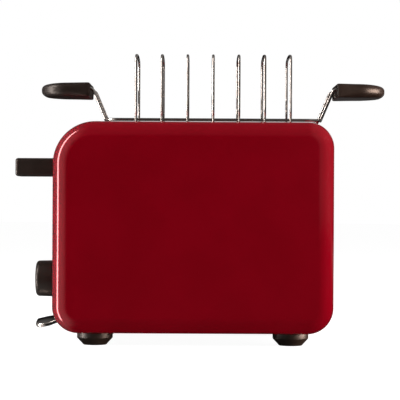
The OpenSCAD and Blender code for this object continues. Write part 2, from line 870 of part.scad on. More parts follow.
module magnet_yoke() {
    post_top_z = armature_z - lever_drop - clear;
    color(zinc) translate([magnet_x, slot_y - armature_w / 2, yoke_z]) {
        cube([magnet_l, armature_w, yoke_t]);
        for (y = [0, armature_w - post_w]) translate([post_inset, y, 0])
            cube([post_l, post_w, post_top_z - yoke_z]);
    }
}

module magnet_coils() {
    low_z = yoke_z + yoke_t;
    height = armature_z - lever_drop - coil_gap - low_z;
    color([0.72, 0.36, 0.16]) for (y = [0, armature_w - post_w])
        translate([magnet_x + post_inset, slot_y - armature_w / 2 + y, low_z]) difference() {
            translate([-coil_wrap / 2, -coil_wrap, 0])
                cube([post_l + coil_wrap, post_w + 2 * coil_wrap, height]);
            translate([0, 0, -over]) cube([post_l, post_w, height + 2 * over]);
        }
}

module guide_rod() {
    low_z = tab_low_z - 1.5;
    color(zinc) translate([rod_x, 0, low_z])
        cylinder(h = tab_high_z + tab_t + 2 - low_z, r = rod_d / 2);
}

// coil spring, swept with a round wire; its end turns lie flat
module return_spring() {
    sides = 6;
    steps = 12;
    wire_r = spring_wire_d / 2;
    coil_r = spring_d / 2 - wire_r;
    low = tab_low_z + tab_t + clear + wire_r;
    rise = sleeve_low_z - clear - wire_r - low;
    count = spring_turns * steps;
    end_rise = spring_wire_d * 1.15; // of the closed turn at each end
    middle_rise = (rise - 2 * end_rise) / (spring_turns - 2);
    function height(i) = let (turn = i / steps)
        turn < 1 ? end_rise * turn
        : turn > spring_turns - 1 ? rise - end_rise * (spring_turns - turn)
        : end_rise + middle_rise * (turn - 1);
    function ring_point(i, j) = let (a = 360 * i / steps, b = 360 * j / sides)
        [(coil_r + wire_r * cos(b)) * cos(a), (coil_r + wire_r * cos(b)) * sin(a),
         height(i) + wire_r * sin(b)];
    points = [for (i = [0 : count], j = [0 : sides - 1]) ring_point(i, j)];
    function at(i, j) = i * sides + j % sides;
    lower_walls = [for (i = [0 : count - 1], j = [0 : sides - 1])
        [at(i, j), at(i, j + 1), at(i + 1, j + 1)]];
    upper_walls = [for (i = [0 : count - 1], j = [0 : sides - 1])
        [at(i, j), at(i + 1, j + 1), at(i + 1, j)]];
    first_end = [for (j = [sides - 1 : -1 : 0]) at(0, j)];
    last_end = [for (j = [0 : sides - 1]) at(count, j)];
    color(steel) translate([rod_x, 0, low])
        polyhedron(points, concat(lower_walls, upper_walls, [first_end, last_end]));
}

module lever_handle() {
    length = lever_out - handle_gap;
    color(near_black) difference() {
        translate([left_x - lever_out, 0, lever_z]) soft_block(length, lever_w, lever_h, lever_r, lever_r);
        translate([left_x - handle_gap - stem_depth, -stem_t / 2, lever_z - stem_h / 2])
            cube([stem_depth + over, stem_t, stem_h]);
    }
}

// ---------- controls ----------

module control_board() {
    color([0.1, 0.35, 0.2]) difference() {
        union() {
            translate([board_x, -board_half_w, board_low_z])
                cube([board_t, 2 * board_half_w, board_mid_z - board_low_z]);
            translate([board_x, -board_half_w, board_mid_z - tiny])
                cube([board_t, board_half_w - board_arm_y, board_high_z - board_mid_z + tiny]);
        }
        for (p = standoffs) translate([board_x - over, p[0], p[1]])
            rod_x_axis(board_t + 2 * over, screw_r);
        translate([board_x - over, 0, knob_z]) rod_x_axis(board_t + 2 * over, pot_neck_r + 2 * fit);
    }
}

module browning_potentiometer() {
    start = board_x - pot_neck_l;
    color([0.2, 0.2, 0.22]) difference() {
        union() {
            translate([board_back_x, -pot_size / 2, knob_z - pot_size / 2])
                cube([pot_depth, pot_size, pot_size]);
            translate([start, 0, knob_z]) rod_x_axis(board_back_x - start + tiny, pot_neck_r);
        }
        translate([start - over, 0, knob_z])
            rod_x_axis(board_back_x + pot_depth - pot_wall - start + over, knob_shaft_d / 2 + fit);
    }
}

module knob_shaft() {
    shaft_start = left_x - knob_gap - knob_bore_depth;
    color(zinc) translate([shaft_start, 0, knob_z])
        rod_x_axis(board_back_x + pot_depth - pot_wall - 1 - shaft_start, knob_shaft_d / 2);
}

// solid of revolution about the knob's axis, with a slightly domed outer face
module browning_knob() {
    r = knob_d / 2;
    length = knob_out - knob_gap;
    shoulder = length - knob_dome; // where the domed face starts
    base_edge = 1;
    pointer_l = 5;
    pointer_w = 1.2;
    dome_r = ((r - knob_r) * (r - knob_r) + knob_dome * knob_dome) / (2 * knob_dome);
    color(near_black) translate([left_x - knob_gap, 0, knob_z]) rotate([0, -90, 0])
        difference() {
            rotate_extrude() {
                polygon([
                    [0, 0], [r - base_edge, 0], [r, base_edge], [r - knob_taper, shoulder - knob_r],
                    [0, shoulder - knob_r]
                ]);
                square([r - knob_r - knob_taper, shoulder]);
                intersection() {
                    translate([r - knob_r - knob_taper, shoulder - knob_r]) circle(knob_r);
                    square([r, length]);
                }
                intersection() {
                    translate([0, length - dome_r]) circle(dome_r, $fn = 96);
                    translate([0, shoulder - tiny]) square([r - knob_r - knob_taper, knob_dome + over]);
                }
            }
            translate([0, 0, -over]) cylinder(h = knob_bore_depth + over, r = knob_shaft_d / 2);
            // pointer groove across the rim
            translate([r - pointer_l, -pointer_w / 2, shoulder - 1])
                cube([pointer_l + over, pointer_w, knob_dome + 2]);
        }
}

module knob_collar() {
    color(steel) translate([left_x - collar_t, 0, knob_z]) difference() {
        rod_x_axis(collar_t, knob_d / 2 + collar_rim);
        translate([-over, 0, 0]) rod_x_axis(collar_t + 2 * over, knob_d / 2 - collar_w + collar_rim);
    }
}

module button(i) {
    r = button_d / 2;
    flange = button_out + panel_wall + button_play; // from the button's face to its flange
    back = flange + button_flange_t;
    length = button_out + board_x - left_x - switch_h - plunger_h - button_travel - button_play;
    color(near_black) translate([left_x - button_out, -button_y, button_z + i * button_pitch])
        rotate([0, 90, 0]) rotate_extrude() polygon([
            [0, 0], [r - button_edge, 0], [r, button_edge], [r, flange], [button_flange_r, flange],
            [button_flange_r, back], [button_stem_r, back], [button_stem_r, length], [0, length]
        ]);
}

module cancel_button() { button(0); }
module reheat_button() { button(1); }
module defrost_button() { button(2); }

module indicator_lamps() {
    color([0.95, 0.75, 0.35]) for (i = [0 : button_count - 1])
        translate([left_x - clear, -lamp_y, button_z + i * button_pitch])
        rod_x_axis(board_x - left_x + clear, lamp_r);
}

// tact switches on the board's outer face; relay, transformer, two capacitors and two resistors
// on its inner face
module board_parts() {
    // places are sideways and up, the blocks' from the board's lower edge and the others' from its step
    relay = [15, 19, 16];
    relay_place = [-38, 14];
    transformer = [14, 16, 20];
    transformer_place = [18, 12];
    resistor = [2.5, 2.5, 9];
    resistor_places = [[-30, -10], [-24, -10]];
    capacitors = [[27, -15, 12, 5], [12, -14, 9, 4]]; // place, length, radius
    color([0.16, 0.16, 0.18]) {
        for (i = [0 : button_count - 1]) translate([board_x, -button_y, button_z + i * button_pitch]) {
            translate([-switch_h, -switch_w / 2, -switch_w / 2]) cube([switch_h, switch_w, switch_w]);
            translate([-switch_h - plunger_h, 0, 0]) rod_x_axis(plunger_h + tiny, plunger_r);
        }
        translate([board_back_x, relay_place[0], board_low_z + relay_place[1]]) cube(relay);
        translate([board_back_x, transformer_place[0], board_low_z + transformer_place[1]])
            cube(transformer);
        for (c = capacitors) translate([board_back_x, c[0], board_mid_z + c[1]]) rod_x_axis(c[2], c[3]);
        for (p = resistor_places) translate([board_back_x, p[0], board_mid_z + p[1]]) cube(resistor);
    }
}

module board_screws() {
    grip = 6; // how far a screw reaches into its standoff
    head_h = 1.6;
    head_r = 2.6;
    color(zinc) for (p = standoffs) translate([board_back_x, p[0], p[1]]) {
        rod_x_axis(head_h, head_r);
        translate([-board_t - grip, 0, 0]) rod_x_axis(board_t + grip + tiny, pilot_r - fit);
    }
}

// ---------- crumb tray ----------

module crumb_tray() {
    inside = tray_w - 2 * tray_t;
    color(zinc) difference() {
        translate([tray_start, -tray_w / 2, tray_z]) cube([tray_end - tray_start, tray_w, tray_h]);
        translate([tray_start + tray_t, -inside / 2, tray_z + tray_t])
            cube([tray_end - tray_start - 2 * tray_t, inside, tray_h]);
    }
}

// front plate that closes the opening flush with the corner, and the sloping pull
module tray_pull() {
    front_h = opening_h - 2 * opening_play;
    front_z = floor_z + opening_lift + opening_play;
    front_w = opening_w - 2 * opening_play;
    nose_r = pull_t / 2 + 0.3;
    length = (pull_out - nose_r) / cos(pull_slope);
    root = corner_r * 0.35; // the pull's length inside the outline, to the front plate
    color(steel) {
        intersection() {
            translate([body_x, 0, bottom_z]) mirror([1, 0, 0])
                across_y(front_w) panel_outline(body_w / 2, corner_r, lever_corner_r);
            translate([left_x - over, -front_w / 2, front_z]) cube([corner_r, front_w, front_h]);
        }
        // web from the front plate back to the tray
        across_y(pull_w) intersection() {
            translate([left_x, tray_z]) square([tray_start - left_x, tray_h]);
            translate([left_x + corner_r, bottom_z + corner_r]) circle(corner_r - panel_wall / 2);
        }
        intersection() {
            translate([left_x, 0, floor_z + pull_lift]) across_y(pull_w) rotate(pull_slope) {
                translate([-length, -pull_t / 2]) square([length + root, pull_t]);
                translate([-length, 0]) circle(nose_r);
            }
            translate([left_x - pull_out, -pull_w / 2, 0]) linear_extrude(tray_top_z + tray_h)
                rounded_rect(pull_out + root + pull_r, pull_w, pull_r);
        }
    }
}

module tray_rivets() {
    rivet_r = 1.6;
    head_h = 1;
    color(zinc) for (side = [-1, 1])
        translate([tray_start + tray_t, side * (pull_w / 2 - 8), tray_z + tray_h / 2])
        rod_x_axis(head_h, rivet_r);
}

// ---------- mains inlet ----------

module terminal_block() {
    color([0.9, 0.88, 0.82])
        translate([plate_right_x + chassis_t, gland_y - 8, gland_z + gland_d / 2]) difference() {
            cube(terminal_size);
            for (i = [-1 : 1]) translate([terminal_size[0] / 2, terminal_size[1] / 2, terminal_size[2] / 2])
                translate([0, i * terminal_pitch, 0]) cylinder(h = terminal_size[2], r = terminal_hole_r);
        }
}

module cord_gland() {
    neck_l = panel_wall + gland_nut_t + gland_thread;
    color(near_black) translate([right_x, gland_y, gland_z]) difference() {
        union() {
            rod_x_axis(gland_flange_t, gland_d / 2);
            translate([-neck_l, 0, 0]) rod_x_axis(neck_l + tiny, gland_neck_r);
        }
        translate([-neck_l - over, 0, 0])
            rod_x_axis(neck_l + gland_flange_t + 2 * over, cord_bore_d / 2);
    }
}

module gland_nut() {
    color(near_black) translate([right_x - panel_wall - gland_nut_t, gland_y, gland_z]) difference() {
        rotate([0, 90, 0]) cylinder(h = gland_nut_t, r = gland_d / 2, $fn = 6);
        translate([-over, 0, 0]) rod_x_axis(gland_nut_t + 2 * over, gland_neck_r);
    }
}

// ---------- warming rack ----------

// a stretch of round wire along an arc of radius r in the X-Y plane, from angle start through sweep
module wire_arc(r, start, sweep, wire_r) {
    rotate([0, 0, start]) rotate_extrude(angle = sweep) translate([r, 0]) circle(wire_r);
}

// a slight swelling where two stretches of a wire meet
module joint_bead(wire_r) {
    sphere(wire_r + bead);
}

// one quarter of the frame, for +X, and for +Y or -Y by hand: corner, and the wire up to the handle
module frame_quarter(hand) {
    wire_r = rail_d / 2;
    lift_r = handle_bend_r;
    wire_y = hand * handle_wire_y;
    corner_y = hand * (rail_y - rail_r);
    translate([rail_half - rail_r, corner_y, 0]) wire_arc(rail_r, hand > 0 ? 0 : 270, 90, wire_r);
    translate([rail_half, corner_y, 0]) joint_bead(wire_r);
    // from the corner up into the leaning wire
    translate([rail_half, wire_y + hand * twist_r, 0]) rotate([0, handle_lean, 0])
        translate([0, 0, twist_r]) rotate([90, 0, 90]) wire_arc(twist_r, hand > 0 ? 180 : 270, 90, wire_r);
    // leaning wire and the bend into the handle
    start = [rail_half + twist_r * sin(handle_lean), twist_r * cos(handle_lean)];
    wire_z = handle_z + handle_wire_lift - rail_z;
    climb = wire_z - lift_r * (1 - sin(handle_lean)) - start[1];
    length = climb / cos(handle_lean);
    translate([start[0], wire_y, start[1]]) rotate([0, handle_lean, 0]) {
        joint_bead(wire_r);
        translate([0, 0, bead]) cylinder(h = length - 2 * bead, r = wire_r);
        translate([0, 0, length]) {
            joint_bead(wire_r);
            translate([lift_r, 0, 0]) rotate([90, 0, 0])
                wire_arc(lift_r, 90 + handle_lean, 90 - handle_lean, wire_r);
        }
    }
    bend_end = start[0] + length * sin(handle_lean) + lift_r * cos(handle_lean);
    translate([bend_end, wire_y, wire_z]) {
        joint_bead(wire_r);
        translate([bead, 0, 0]) rod_x_axis(handle_inner + wire_depth - bend_end - bead, wire_r);
    }
}

module rack_frame() {
    rail_end = rail_half - rail_r;
    color(steel) translate([chamber_x, 0, top_z + rail_z]) {
        for (side = [-1, 1]) translate([-rail_end, side * rail_y, 0]) rod_x_axis(2 * rail_end, rail_d / 2);
        for (turn = [0, 180], hand = [-1, 1]) rotate(turn) frame_quarter(hand);
    }
}

// a hoop in the Y-Z plane: two legs, two round corners and a gently arched top
module fin() {
    wire_r = fin_d / 2;
    lean = asin((fin_y - fin_r) / (crown_r - fin_r));
    crown_z = top_z + fin_h - wire_r;
    corner_z = crown_z - crown_r + (crown_r - fin_r) * cos(lean);
    for (side = [0, 1]) mirror([0, side, 0]) {
        translate([0, fin_y, top_z + rack_gap]) cylinder(h = corner_z - top_z - rack_gap - bead, r = wire_r);
        translate([0, fin_y, corner_z]) joint_bead(wire_r);
        translate([0, fin_y - fin_r, corner_z]) {
            rotate([90, 0, 90]) rotate_extrude(angle = 90 - lean) translate([fin_r, 0]) circle(wire_r);
            translate([0, fin_r * sin(lean), fin_r * cos(lean)]) joint_bead(wire_r);
        }
    }
    // its ends stop just short of the corners, inside the beads
    short = bead / crown_r * 180 / PI;
    translate([0, 0, crown_z - crown_r]) rotate([90, 0, 90]) rotate([0, 0, 90 - lean + short])
        rotate_extrude(angle = 2 * (lean - short), $fn = 96) translate([crown_r, 0]) circle(wire_r);
}

module rack_fins() {
    color(steel) for (i = [0 : fin_count - 1])
        translate([chamber_x + (i - (fin_count - 1) / 2) * fin_pitch, 0, 0]) fin();
}

// a disc of radius r with a round edge
module round_disc(r, edge_r) {
    rotate_extrude($fn = 32) intersection() {
        translate([r - edge_r, 0]) circle(edge_r, $fn = 16);
        translate([0, -edge_r]) square([r, 2 * edge_r]);
    }
}

// handle on the +X side: flat on its inner end, round on its outer end
module rack_handle() {
    length = handle_half - handle_inner;
    inner_r = handle_inner_r + 1; // corner radius at the flat inner end
    difference() {
        hull() for (side = [-1, 1], up = [-1, 1]) {
            translate([length - handle_corner_r, side * (handle_w / 2 - handle_corner_r),
                       up * (handle_t / 2 - handle_edge_r)])
                round_disc(handle_corner_r, handle_edge_r);
            translate([inner_r, side * (handle_w / 2 - inner_r), up * (handle_t / 2 - handle_inner_r)])
                round_disc(inner_r, handle_inner_r);
        }
        for (side = [-1, 1]) translate([-over, side * handle_wire_y, handle_wire_lift])
            rod_x_axis(wire_depth + over, rail_d / 2);
    }
}

module rack_handle_far_side() {
    color(near_black) translate([chamber_x + handle_inner, 0, top_z + handle_z]) rack_handle();
}

module rack_handle_lever_side() {
    color(near_black) translate([chamber_x - handle_inner, 0, top_z + handle_z])
        mirror([1, 0, 0]) rack_handle();
}

front_cover();
rear_cover();
lever_end_panel();
far_end_panel();
top_plate();
base_plate();
foot_front_lever_side();
foot_front_far_side();
foot_rear_lever_side();
foot_rear_far_side();
foot_screws();
base_screws();
chassis_lever_end();
chassis_far_end();
heat_shield_front();
heat_shield_rear();
heater_board_front();
heater_board_center();
heater_board_rear();
heater_ribbons();
bread_guard_1();
bread_guard_2();
bread_guard_3();
bread_guard_4();
carriage_bracket();
bread_rack_front();
bread_rack_rear();
armature_plate();
lever_handle();
guide_rod();
return_spring();
magnet_yoke();
magnet_coils();
control_board();
board_parts();
board_screws();
browning_potentiometer();
knob_shaft();
browning_knob();
knob_collar();
cancel_button();
reheat_button();
defrost_button();
indicator_lamps();
crumb_tray();
tray_pull();
tray_rivets();
terminal_block();
cord_gland();
gland_nut();
rack_frame();
rack_fins();
rack_handle_lever_side();
rack_handle_far_side();
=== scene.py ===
import json
import math

import bmesh
import bpy
from mathutils import Matrix, Vector

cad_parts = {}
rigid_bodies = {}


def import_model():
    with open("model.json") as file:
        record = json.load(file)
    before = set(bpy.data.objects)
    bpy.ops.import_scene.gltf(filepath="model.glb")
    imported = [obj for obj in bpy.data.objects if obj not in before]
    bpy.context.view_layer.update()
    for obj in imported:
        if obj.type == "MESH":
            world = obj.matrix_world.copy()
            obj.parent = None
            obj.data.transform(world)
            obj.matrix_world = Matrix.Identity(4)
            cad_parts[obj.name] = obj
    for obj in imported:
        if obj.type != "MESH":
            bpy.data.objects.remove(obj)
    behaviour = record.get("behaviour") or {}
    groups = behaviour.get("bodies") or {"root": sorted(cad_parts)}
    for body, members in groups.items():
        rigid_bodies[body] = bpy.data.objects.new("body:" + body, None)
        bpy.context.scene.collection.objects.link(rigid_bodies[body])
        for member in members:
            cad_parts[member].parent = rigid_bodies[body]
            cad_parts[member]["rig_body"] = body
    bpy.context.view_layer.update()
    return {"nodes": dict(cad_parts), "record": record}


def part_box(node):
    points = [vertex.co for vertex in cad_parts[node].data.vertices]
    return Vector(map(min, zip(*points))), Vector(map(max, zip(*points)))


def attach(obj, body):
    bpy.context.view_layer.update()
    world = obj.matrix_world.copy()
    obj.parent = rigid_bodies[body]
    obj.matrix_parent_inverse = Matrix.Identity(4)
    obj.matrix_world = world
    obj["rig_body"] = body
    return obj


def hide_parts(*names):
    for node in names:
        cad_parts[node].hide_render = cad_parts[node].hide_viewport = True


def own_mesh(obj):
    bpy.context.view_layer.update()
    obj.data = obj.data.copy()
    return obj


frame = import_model()
print("frame loaded:", len(frame["nodes"]), "nodes")


def addObject(name, data):
    thing = bpy.data.objects.new(name, data)
    bpy.context.scene.collection.objects.link(thing)
    return thing


# several values of a dictionary
def pick(values, names):
    return [values[name] for name in names.split()]


# camera

cameraSetup = {"place": (0, -1.5745, 0.1362), "lens": 145, "sensor": 36, "roll": 0.3, "clip": (0.05, 50)}


def makeCamera():
    data = bpy.data.cameras.new("camera")
    data.lens, data.sensor_width = pick(cameraSetup, "lens sensor")
    data.clip_start, data.clip_end = cameraSetup["clip"]
    camera = addObject("camera", data)
    level = Matrix.Rotation(math.radians(90), 4, "X")
    roll = Matrix.Rotation(math.radians(cameraSetup["roll"]), 4, "Z")
    camera.matrix_world = Matrix.Translation(cameraSetup["place"]) @ level @ roll
    bpy.context.scene.camera = camera


makeCamera()
print("camera made")


# shader nodes

class Signal:
    # one output socket, so that shader maths can be written as an expression
    def __init__(self, graph, socket):
        self.graph, self.socket = graph, socket

    def __add__(self, other): return self.graph.maths("ADD", self, other)
    def __radd__(self, other): return self.graph.maths("ADD", other, self)
    def __sub__(self, other): return self.graph.maths("SUBTRACT", self, other)
    def __rsub__(self, other): return self.graph.maths("SUBTRACT", other, self)
    def __mul__(self, other): return self.graph.maths("MULTIPLY", self, other)
    def __rmul__(self, other): return self.graph.maths("MULTIPLY", other, self)

    def output(self, name):
        return Signal(self.graph, self.socket.node.outputs[name])


class Graph:
    def __init__(self, tree):
        self.tree = tree
        tree.nodes.clear()

    # settings are set first, then each socket gets a value or a link
    def add(self, kind, settings=None, sockets=None, out=0):
        node = self.tree.nodes.new("ShaderNode" + kind)
        for name, value in (settings or {}).items():
            setattr(node, name, value)
        for name, value in (sockets or {}).items():
            if isinstance(value, Signal):
                self.tree.links.new(value.socket, node.inputs[name])
            elif node.inputs[name].type == "RGBA":
                node.inputs[name].default_value = (*value, 1)
            else:
                node.inputs[name].default_value = value
        return Signal(self, node.outputs[out]) if len(node.outputs) else node

    def maths(self, operation, a, b):
        return self.add("Math", {"operation": operation}, {0: a, 1: b})

    def clamp(self, value):
        return self.add("Clamp", {}, {"Value": value})

    # 0 below low, 1 above high, smooth between
    def step(self, value, low, high):
        return self.add("MapRange", {"interpolation_type": "SMOOTHSTEP"},
                        {"Value": value, "From Min": low, "From Max": high})

    def mix(self, factor, a, b):
        return self.add("Mix", {"data_type": "RGBA"}, {0: factor, 6: a, 7: b}, 2)

    def place(self, stretch=None):
        here = self.add("TexCoord", {}, {}, "Object")
        if not stretch:
            return here
        return self.add("VectorMath", {"operation": "MULTIPLY"}, {0: here, 1: stretch})

    def axis(self, vector, name):
        return self.add("SeparateXYZ", {}, {0: vector}, name)

    # size is that of the pattern's features in metres, or how often it repeats in a metre along X, Y and Z
    def noise(self, size, detail, roughness=0.5):
        stretched = isinstance(size, tuple)
        return self.add("TexNoise", {}, {"Vector": self.place(size if stretched else None),
                                         "Scale": 1 if stretched else 1 / size, "Detail": detail,
                                         "Roughness": roughness})

    def cells(self, size, feature="F1", out="Distance", stretch=None):
        return self.add("TexVoronoi", {"feature": feature},
                        {"Vector": self.place(stretch), "Scale": 1 / size}, out)

    # a different even shade for each cell
    def patches(self, size, channel):
        return self.add("SeparateColor", {}, {0: self.cells(size, out="Color")}, channel)

    def bump(self, height, depth, strength):
        return self.add("Bump", {}, {"Height": height, "Distance": depth, "Strength": strength})

    # 1 for rays that a mirror or a clear piece sends on
    def mirrored(self):
        path = self.add("LightPath", {}, {}, "Is Glossy Ray")
        return self.clamp(path + path.output("Is Transmission Ray"))


# build is called with the graph and returns the material's surface
def makeMaterial(name, build):
    material = bpy.data.materials.new(name)
    material.use_nodes = True
    graph = Graph(material.node_tree)
    graph.add("OutputMaterial", {}, {"Surface": build(graph)})
    return material


# look is called with the graph and returns the values or signals of the shader's sockets
def makeFinish(name, look):
    return makeMaterial(name, lambda graph: graph.add("BsdfPrincipled", {}, look(graph)))


# finishes

# patterns: noise of a size and a detail, cells of a size, patches of a size and a colour channel.
# Clouds mix the two colours, with bands mixed into them. Grain is the relief, with its depth in metres
# and its strength, and is the clouds if not given. Roughness is its least value and what wear adds,
# and wear is the grain if not given
surfaces = {
    "red_enamel": {
        "colors": [(0.217, 0.0007, 0.0063), (0.201, 0.0006, 0.0056)], "clouds": ("noise", 0.045, 3),
        "blend": (0.35, 0.65), "wear": ("noise", 0.02, 2), "roughness": (0.07, 0.03),
        "grain": ("noise", 0.0016, 1.5), "relief": (0.000004, 1), "shader": {"Metallic": 0.3}},
    "brushed_steel": {
        "colors": [(0.60, 0.59, 0.575), (0.46, 0.45, 0.44)], "clouds": ("noise", (12, 1400, 1400), 3, 0.6),
        "bands": ("noise", (3, 120, 120), 2), "bandShare": 0.4, "blend": (0.35, 0.65),
        "roughness": (0.26, 0.14), "relief": (0.000012, 0.6), "shader": {"Metallic": 1}},
    "sheet_steel": {
        "colors": [(0.36, 0.37, 0.385), (0.50, 0.51, 0.52)], "clouds": ("patches", 0.006, "Red"),
        "bands": ("noise", 0.03, 4), "bandShare": 0.5, "bandWear": 0.1, "wear": ("patches", 0.006, "Red"),
        "roughness": (0.34, 0.12), "grain": ("noise", 0.002, 2), "relief": (0.00002, 0.4),
        "shader": {"Metallic": 1}},
    "plated_steel": {
        "colors": [(0.58, 0.585, 0.60), (0.40, 0.37, 0.31)], "clouds": ("noise", 0.008, 4),
        "blend": (0.5, 0.75), "roughness": (0.22, 0.16), "grain": ("noise", (300, 300, 60), 3),
        "relief": (0.00001, 0.5), "shader": {"Metallic": 1}},
    "chrome_wire": {
        "colors": [(0.64, 0.575, 0.535), (0.47, 0.40, 0.36)], "clouds": ("noise", 0.006, 3),
        "blend": (0.4, 0.7), "wear": ("noise", 0.006, 3), "roughness": (0.05, 0.05),
        "grain": ("noise", 0.0012, 2), "relief": (0.000006, 0.4), "shader": {"Metallic": 1}},
    "chrome_pull": {
        "colors": [(0.72, 0.63, 0.58), (0.50, 0.44, 0.40)], "clouds": ("noise", (60, 25, 60), 3),
        "wear": ("noise", (60, 25, 60), 3), "roughness": (0.06, 0.07), "grain": ("noise", 0.004, 2),
        "relief": (0.00002, 0.25), "shader": {"Metallic": 1}},
    "heating_ribbon": {
        "colors": [(0.23, 0.20, 0.175), (0.10, 0.085, 0.09)], "clouds": ("noise", 0.009, 4),
        "roughness": (0.45, 0.2), "relief": (0.00005, 0.4), "shader": {"Metallic": 0.9}},
    "mica": {
        "colors": [(0.50, 0.42, 0.30), (0.66, 0.60, 0.47)], "clouds": ("patches", 0.004, "Green"),
        "bands": ("noise", 0.02, 4), "bandShare": 0.4, "roughness": (0.3, 0.25), "relief": (0.00004, 0.5)},
    "lamp_amber": {
        "colors": [(0.95, 0.62, 0.2), (0.85, 0.36, 0.06)], "clouds": ("cells", 0.0009),
        "roughness": (0.16, 0.1), "relief": (0.0001, 0.5),
        "shader": {"Coat Weight": 0.6, "Coat Roughness": 0.05}},
}
# moulded plastics with faint paler flow marks: both colours, least roughness, grain's size and depth
plastics = {
    "dark_plastic": [(0.0065, 0.0030, 0.0018), (0.0100, 0.0052, 0.0036), 0.35, 0.00045, 0.00001],
    "dark_foot": [(0.0075, 0.0040, 0.0026), (0.012, 0.0070, 0.0048), 0.36, 0.0007, 0.00003],
    "base_plastic": [(0.012, 0.0115, 0.011), (0.018, 0.017, 0.0165), 0.55, 0.0009, 0.00006],
    "board_black": [(0.013, 0.013, 0.014), (0.026, 0.026, 0.027), 0.45, 0.0006, 0.00002],
    "terminal_white": [(0.66, 0.63, 0.55), (0.72, 0.69, 0.62), 0.42, 0.0008, 0.00002],
}
darkTint = (1, 0.86, 0.78)
for slot, (color, paler, roughness, size, depth) in plastics.items():
    surfaces[slot] = {
        "colors": [color, paler], "clouds": ("noise", 0.012, 3), "blend": (0.35, 0.7),
        "roughness": (roughness, 0.08), "grain": ("noise", size, 2), "relief": (depth, 0.7),
        "shader": {"Specular Tint": darkTint} if slot.startswith("dark") else {}}


def surfaceLook(values):
    def look(graph):
        def pattern(key, other=None):
            return getattr(graph, values[key][0])(*values[key][1:]) if key in values else other

        clouds = pattern("clouds")
        grain = pattern("grain", clouds)
        least, more = values["roughness"]
        roughness = least + more * pattern("wear", grain)
        if "bands" in values:
            bands, share = pattern("bands"), values["bandShare"]
            clouds = clouds * (1 - share) + bands * share
            if "bandWear" in values:
                roughness = roughness + values["bandWear"] * bands
        clouds = graph.step(clouds, *values["blend"]) if "blend" in values else graph.clamp(clouds)
        return {"Base Color": graph.mix(clouds, *values["colors"]), "Roughness": roughness,
                "Normal": graph.bump(grain, *values["relief"]), **values.get("shader", {})}
    return look


# enamelled copper wire, its turns lying level; the darker groove colour between the turns is painted shade
winding = {"color": (0.52, 0.20, 0.075), "groove": (0.16, 0.045, 0.015), "pitch": 0.0006, "depth": 0.0001,
           "roughness": 0.28}


def coilLook(graph):
    turns = graph.add("TexWave", {"wave_type": "BANDS", "bands_direction": "Z", "wave_profile": "SIN"},
                      {"Vector": graph.place(), "Scale": math.pi / 10 / winding["pitch"],
                       "Distortion": 0.4}, "Fac")
    return {
        # the groove colour darkens the wire between the turns: painted shade in the crevices
        "Base Color": graph.mix(turns, winding["groove"], winding["color"]),
        "Metallic": 0.8,
        "Roughness": winding["roughness"],
        "Normal": graph.bump(turns, winding["depth"], 0.6),
    }


# green board with paler tracks and tinned pads
board = {"resist": (0.012, 0.085, 0.035), "track": (0.035, 0.17, 0.07), "pad": (0.62, 0.60, 0.55),
         "grid": 0.005, "padGrid": 0.0065, "stretch": (1, 1, 0.35), "depth": 0.00005, "roughness": 0.32}


def boardLook(graph):
    lanes = graph.cells(board["grid"], "DISTANCE_TO_EDGE", stretch=board["stretch"])
    track = 1 - graph.step(lanes, 0.03, 0.06)
    pads = 1 - graph.step(graph.cells(board["padGrid"]), 0.14, 0.18)
    return {
        "Base Color": graph.mix(pads, graph.mix(track, board["resist"], board["track"]), board["pad"]),
        "Metallic": pads * 0.9,
        "Roughness": board["roughness"] + 0.1 * track,
        "Normal": graph.bump(track + pads, board["depth"], 0.5),
    }


looks = {slot: surfaceLook(values) for slot, values in surfaces.items()}
looks.update({"copper_coil": coilLook, "circuit_board": boardLook})
finishes = {slot: makeFinish(slot, look) for slot, look in looks.items()}
print("finishes made:", len(finishes))


# mesh tools

slotOf = {row["node"]: row["material_slot"] for row in frame["record"]["subparts"]}


def makeMesh(name, points, faces):
    mesh = bpy.data.meshes.new(name)
    mesh.from_pydata([tuple(p) for p in points], [], faces)
    work = bmesh.new()
    work.from_mesh(mesh)
    bmesh.ops.remove_doubles(work, verts=work.verts, dist=1e-7)
    bmesh.ops.dissolve_degenerate(work, edges=work.edges, dist=1e-8)
    bmesh.ops.recalc_face_normals(work, faces=work.faces)
    work.to_mesh(mesh)
    work.free()
    return mesh


# a piece takes its finish and its body from the node that it stands for, unless they are given
def makePiece(name, shape, *nodes, body=None, slot=None, sharp=35):
    slot = slot or slotOf[nodes[0]]
    piece = addObject(name, makeMesh(name, *shape))
    piece.data.materials.append(finishes[slot])
    shade(piece, sharp)
    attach(piece, body or frame["nodes"][nodes[0]]["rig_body"])
    if nodes:
        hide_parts(*nodes)
    return piece


def shade(piece, sharp):
    piece.data.shade_smooth()
    piece.data.set_sharp_from_angle(angle=math.radians(sharp))


# cuts the shapes out of the piece, one after another, and keeps the result as its mesh
def cutOut(piece, shapes, sharp=35):
    tools = []
    for shape in shapes:
        tool = addObject("cutter", makeMesh("cutter", *shape))
        cut = piece.modifiers.new("cut", "BOOLEAN")
        cut.operation, cut.solver, cut.object = "DIFFERENCE", "EXACT", tool
        tools.append(tool)
    bpy.context.view_layer.update()
    whole, view = piece.data, bpy.context.evaluated_depsgraph_get()
    piece.data = bpy.data.meshes.new_from_object(piece.evaluated_get(view))
    piece.modifiers.clear()
    bpy.data.meshes.remove(whole)
    piece.data.name = piece.name
    shade(piece, sharp)
    for tool in tools:
        bpy.data.objects.remove(tool)


# faces between rings of equal length; each ring is closed, and the two ends can be capped
def joinRings(count, size, closed=False, caps=True):
    faces = []
    for i in range(count if closed else count - 1):
        a, b = i * size, (i + 1) % count * size
        faces += [(a + j, a + (j + 1) % size, b + (j + 1) % size, b + j) for j in range(size)]
    if not closed and caps:
        faces.append(tuple(reversed(range(size))))
        faces.append(tuple((count - 1) * size + j for j in range(size)))
    return faces


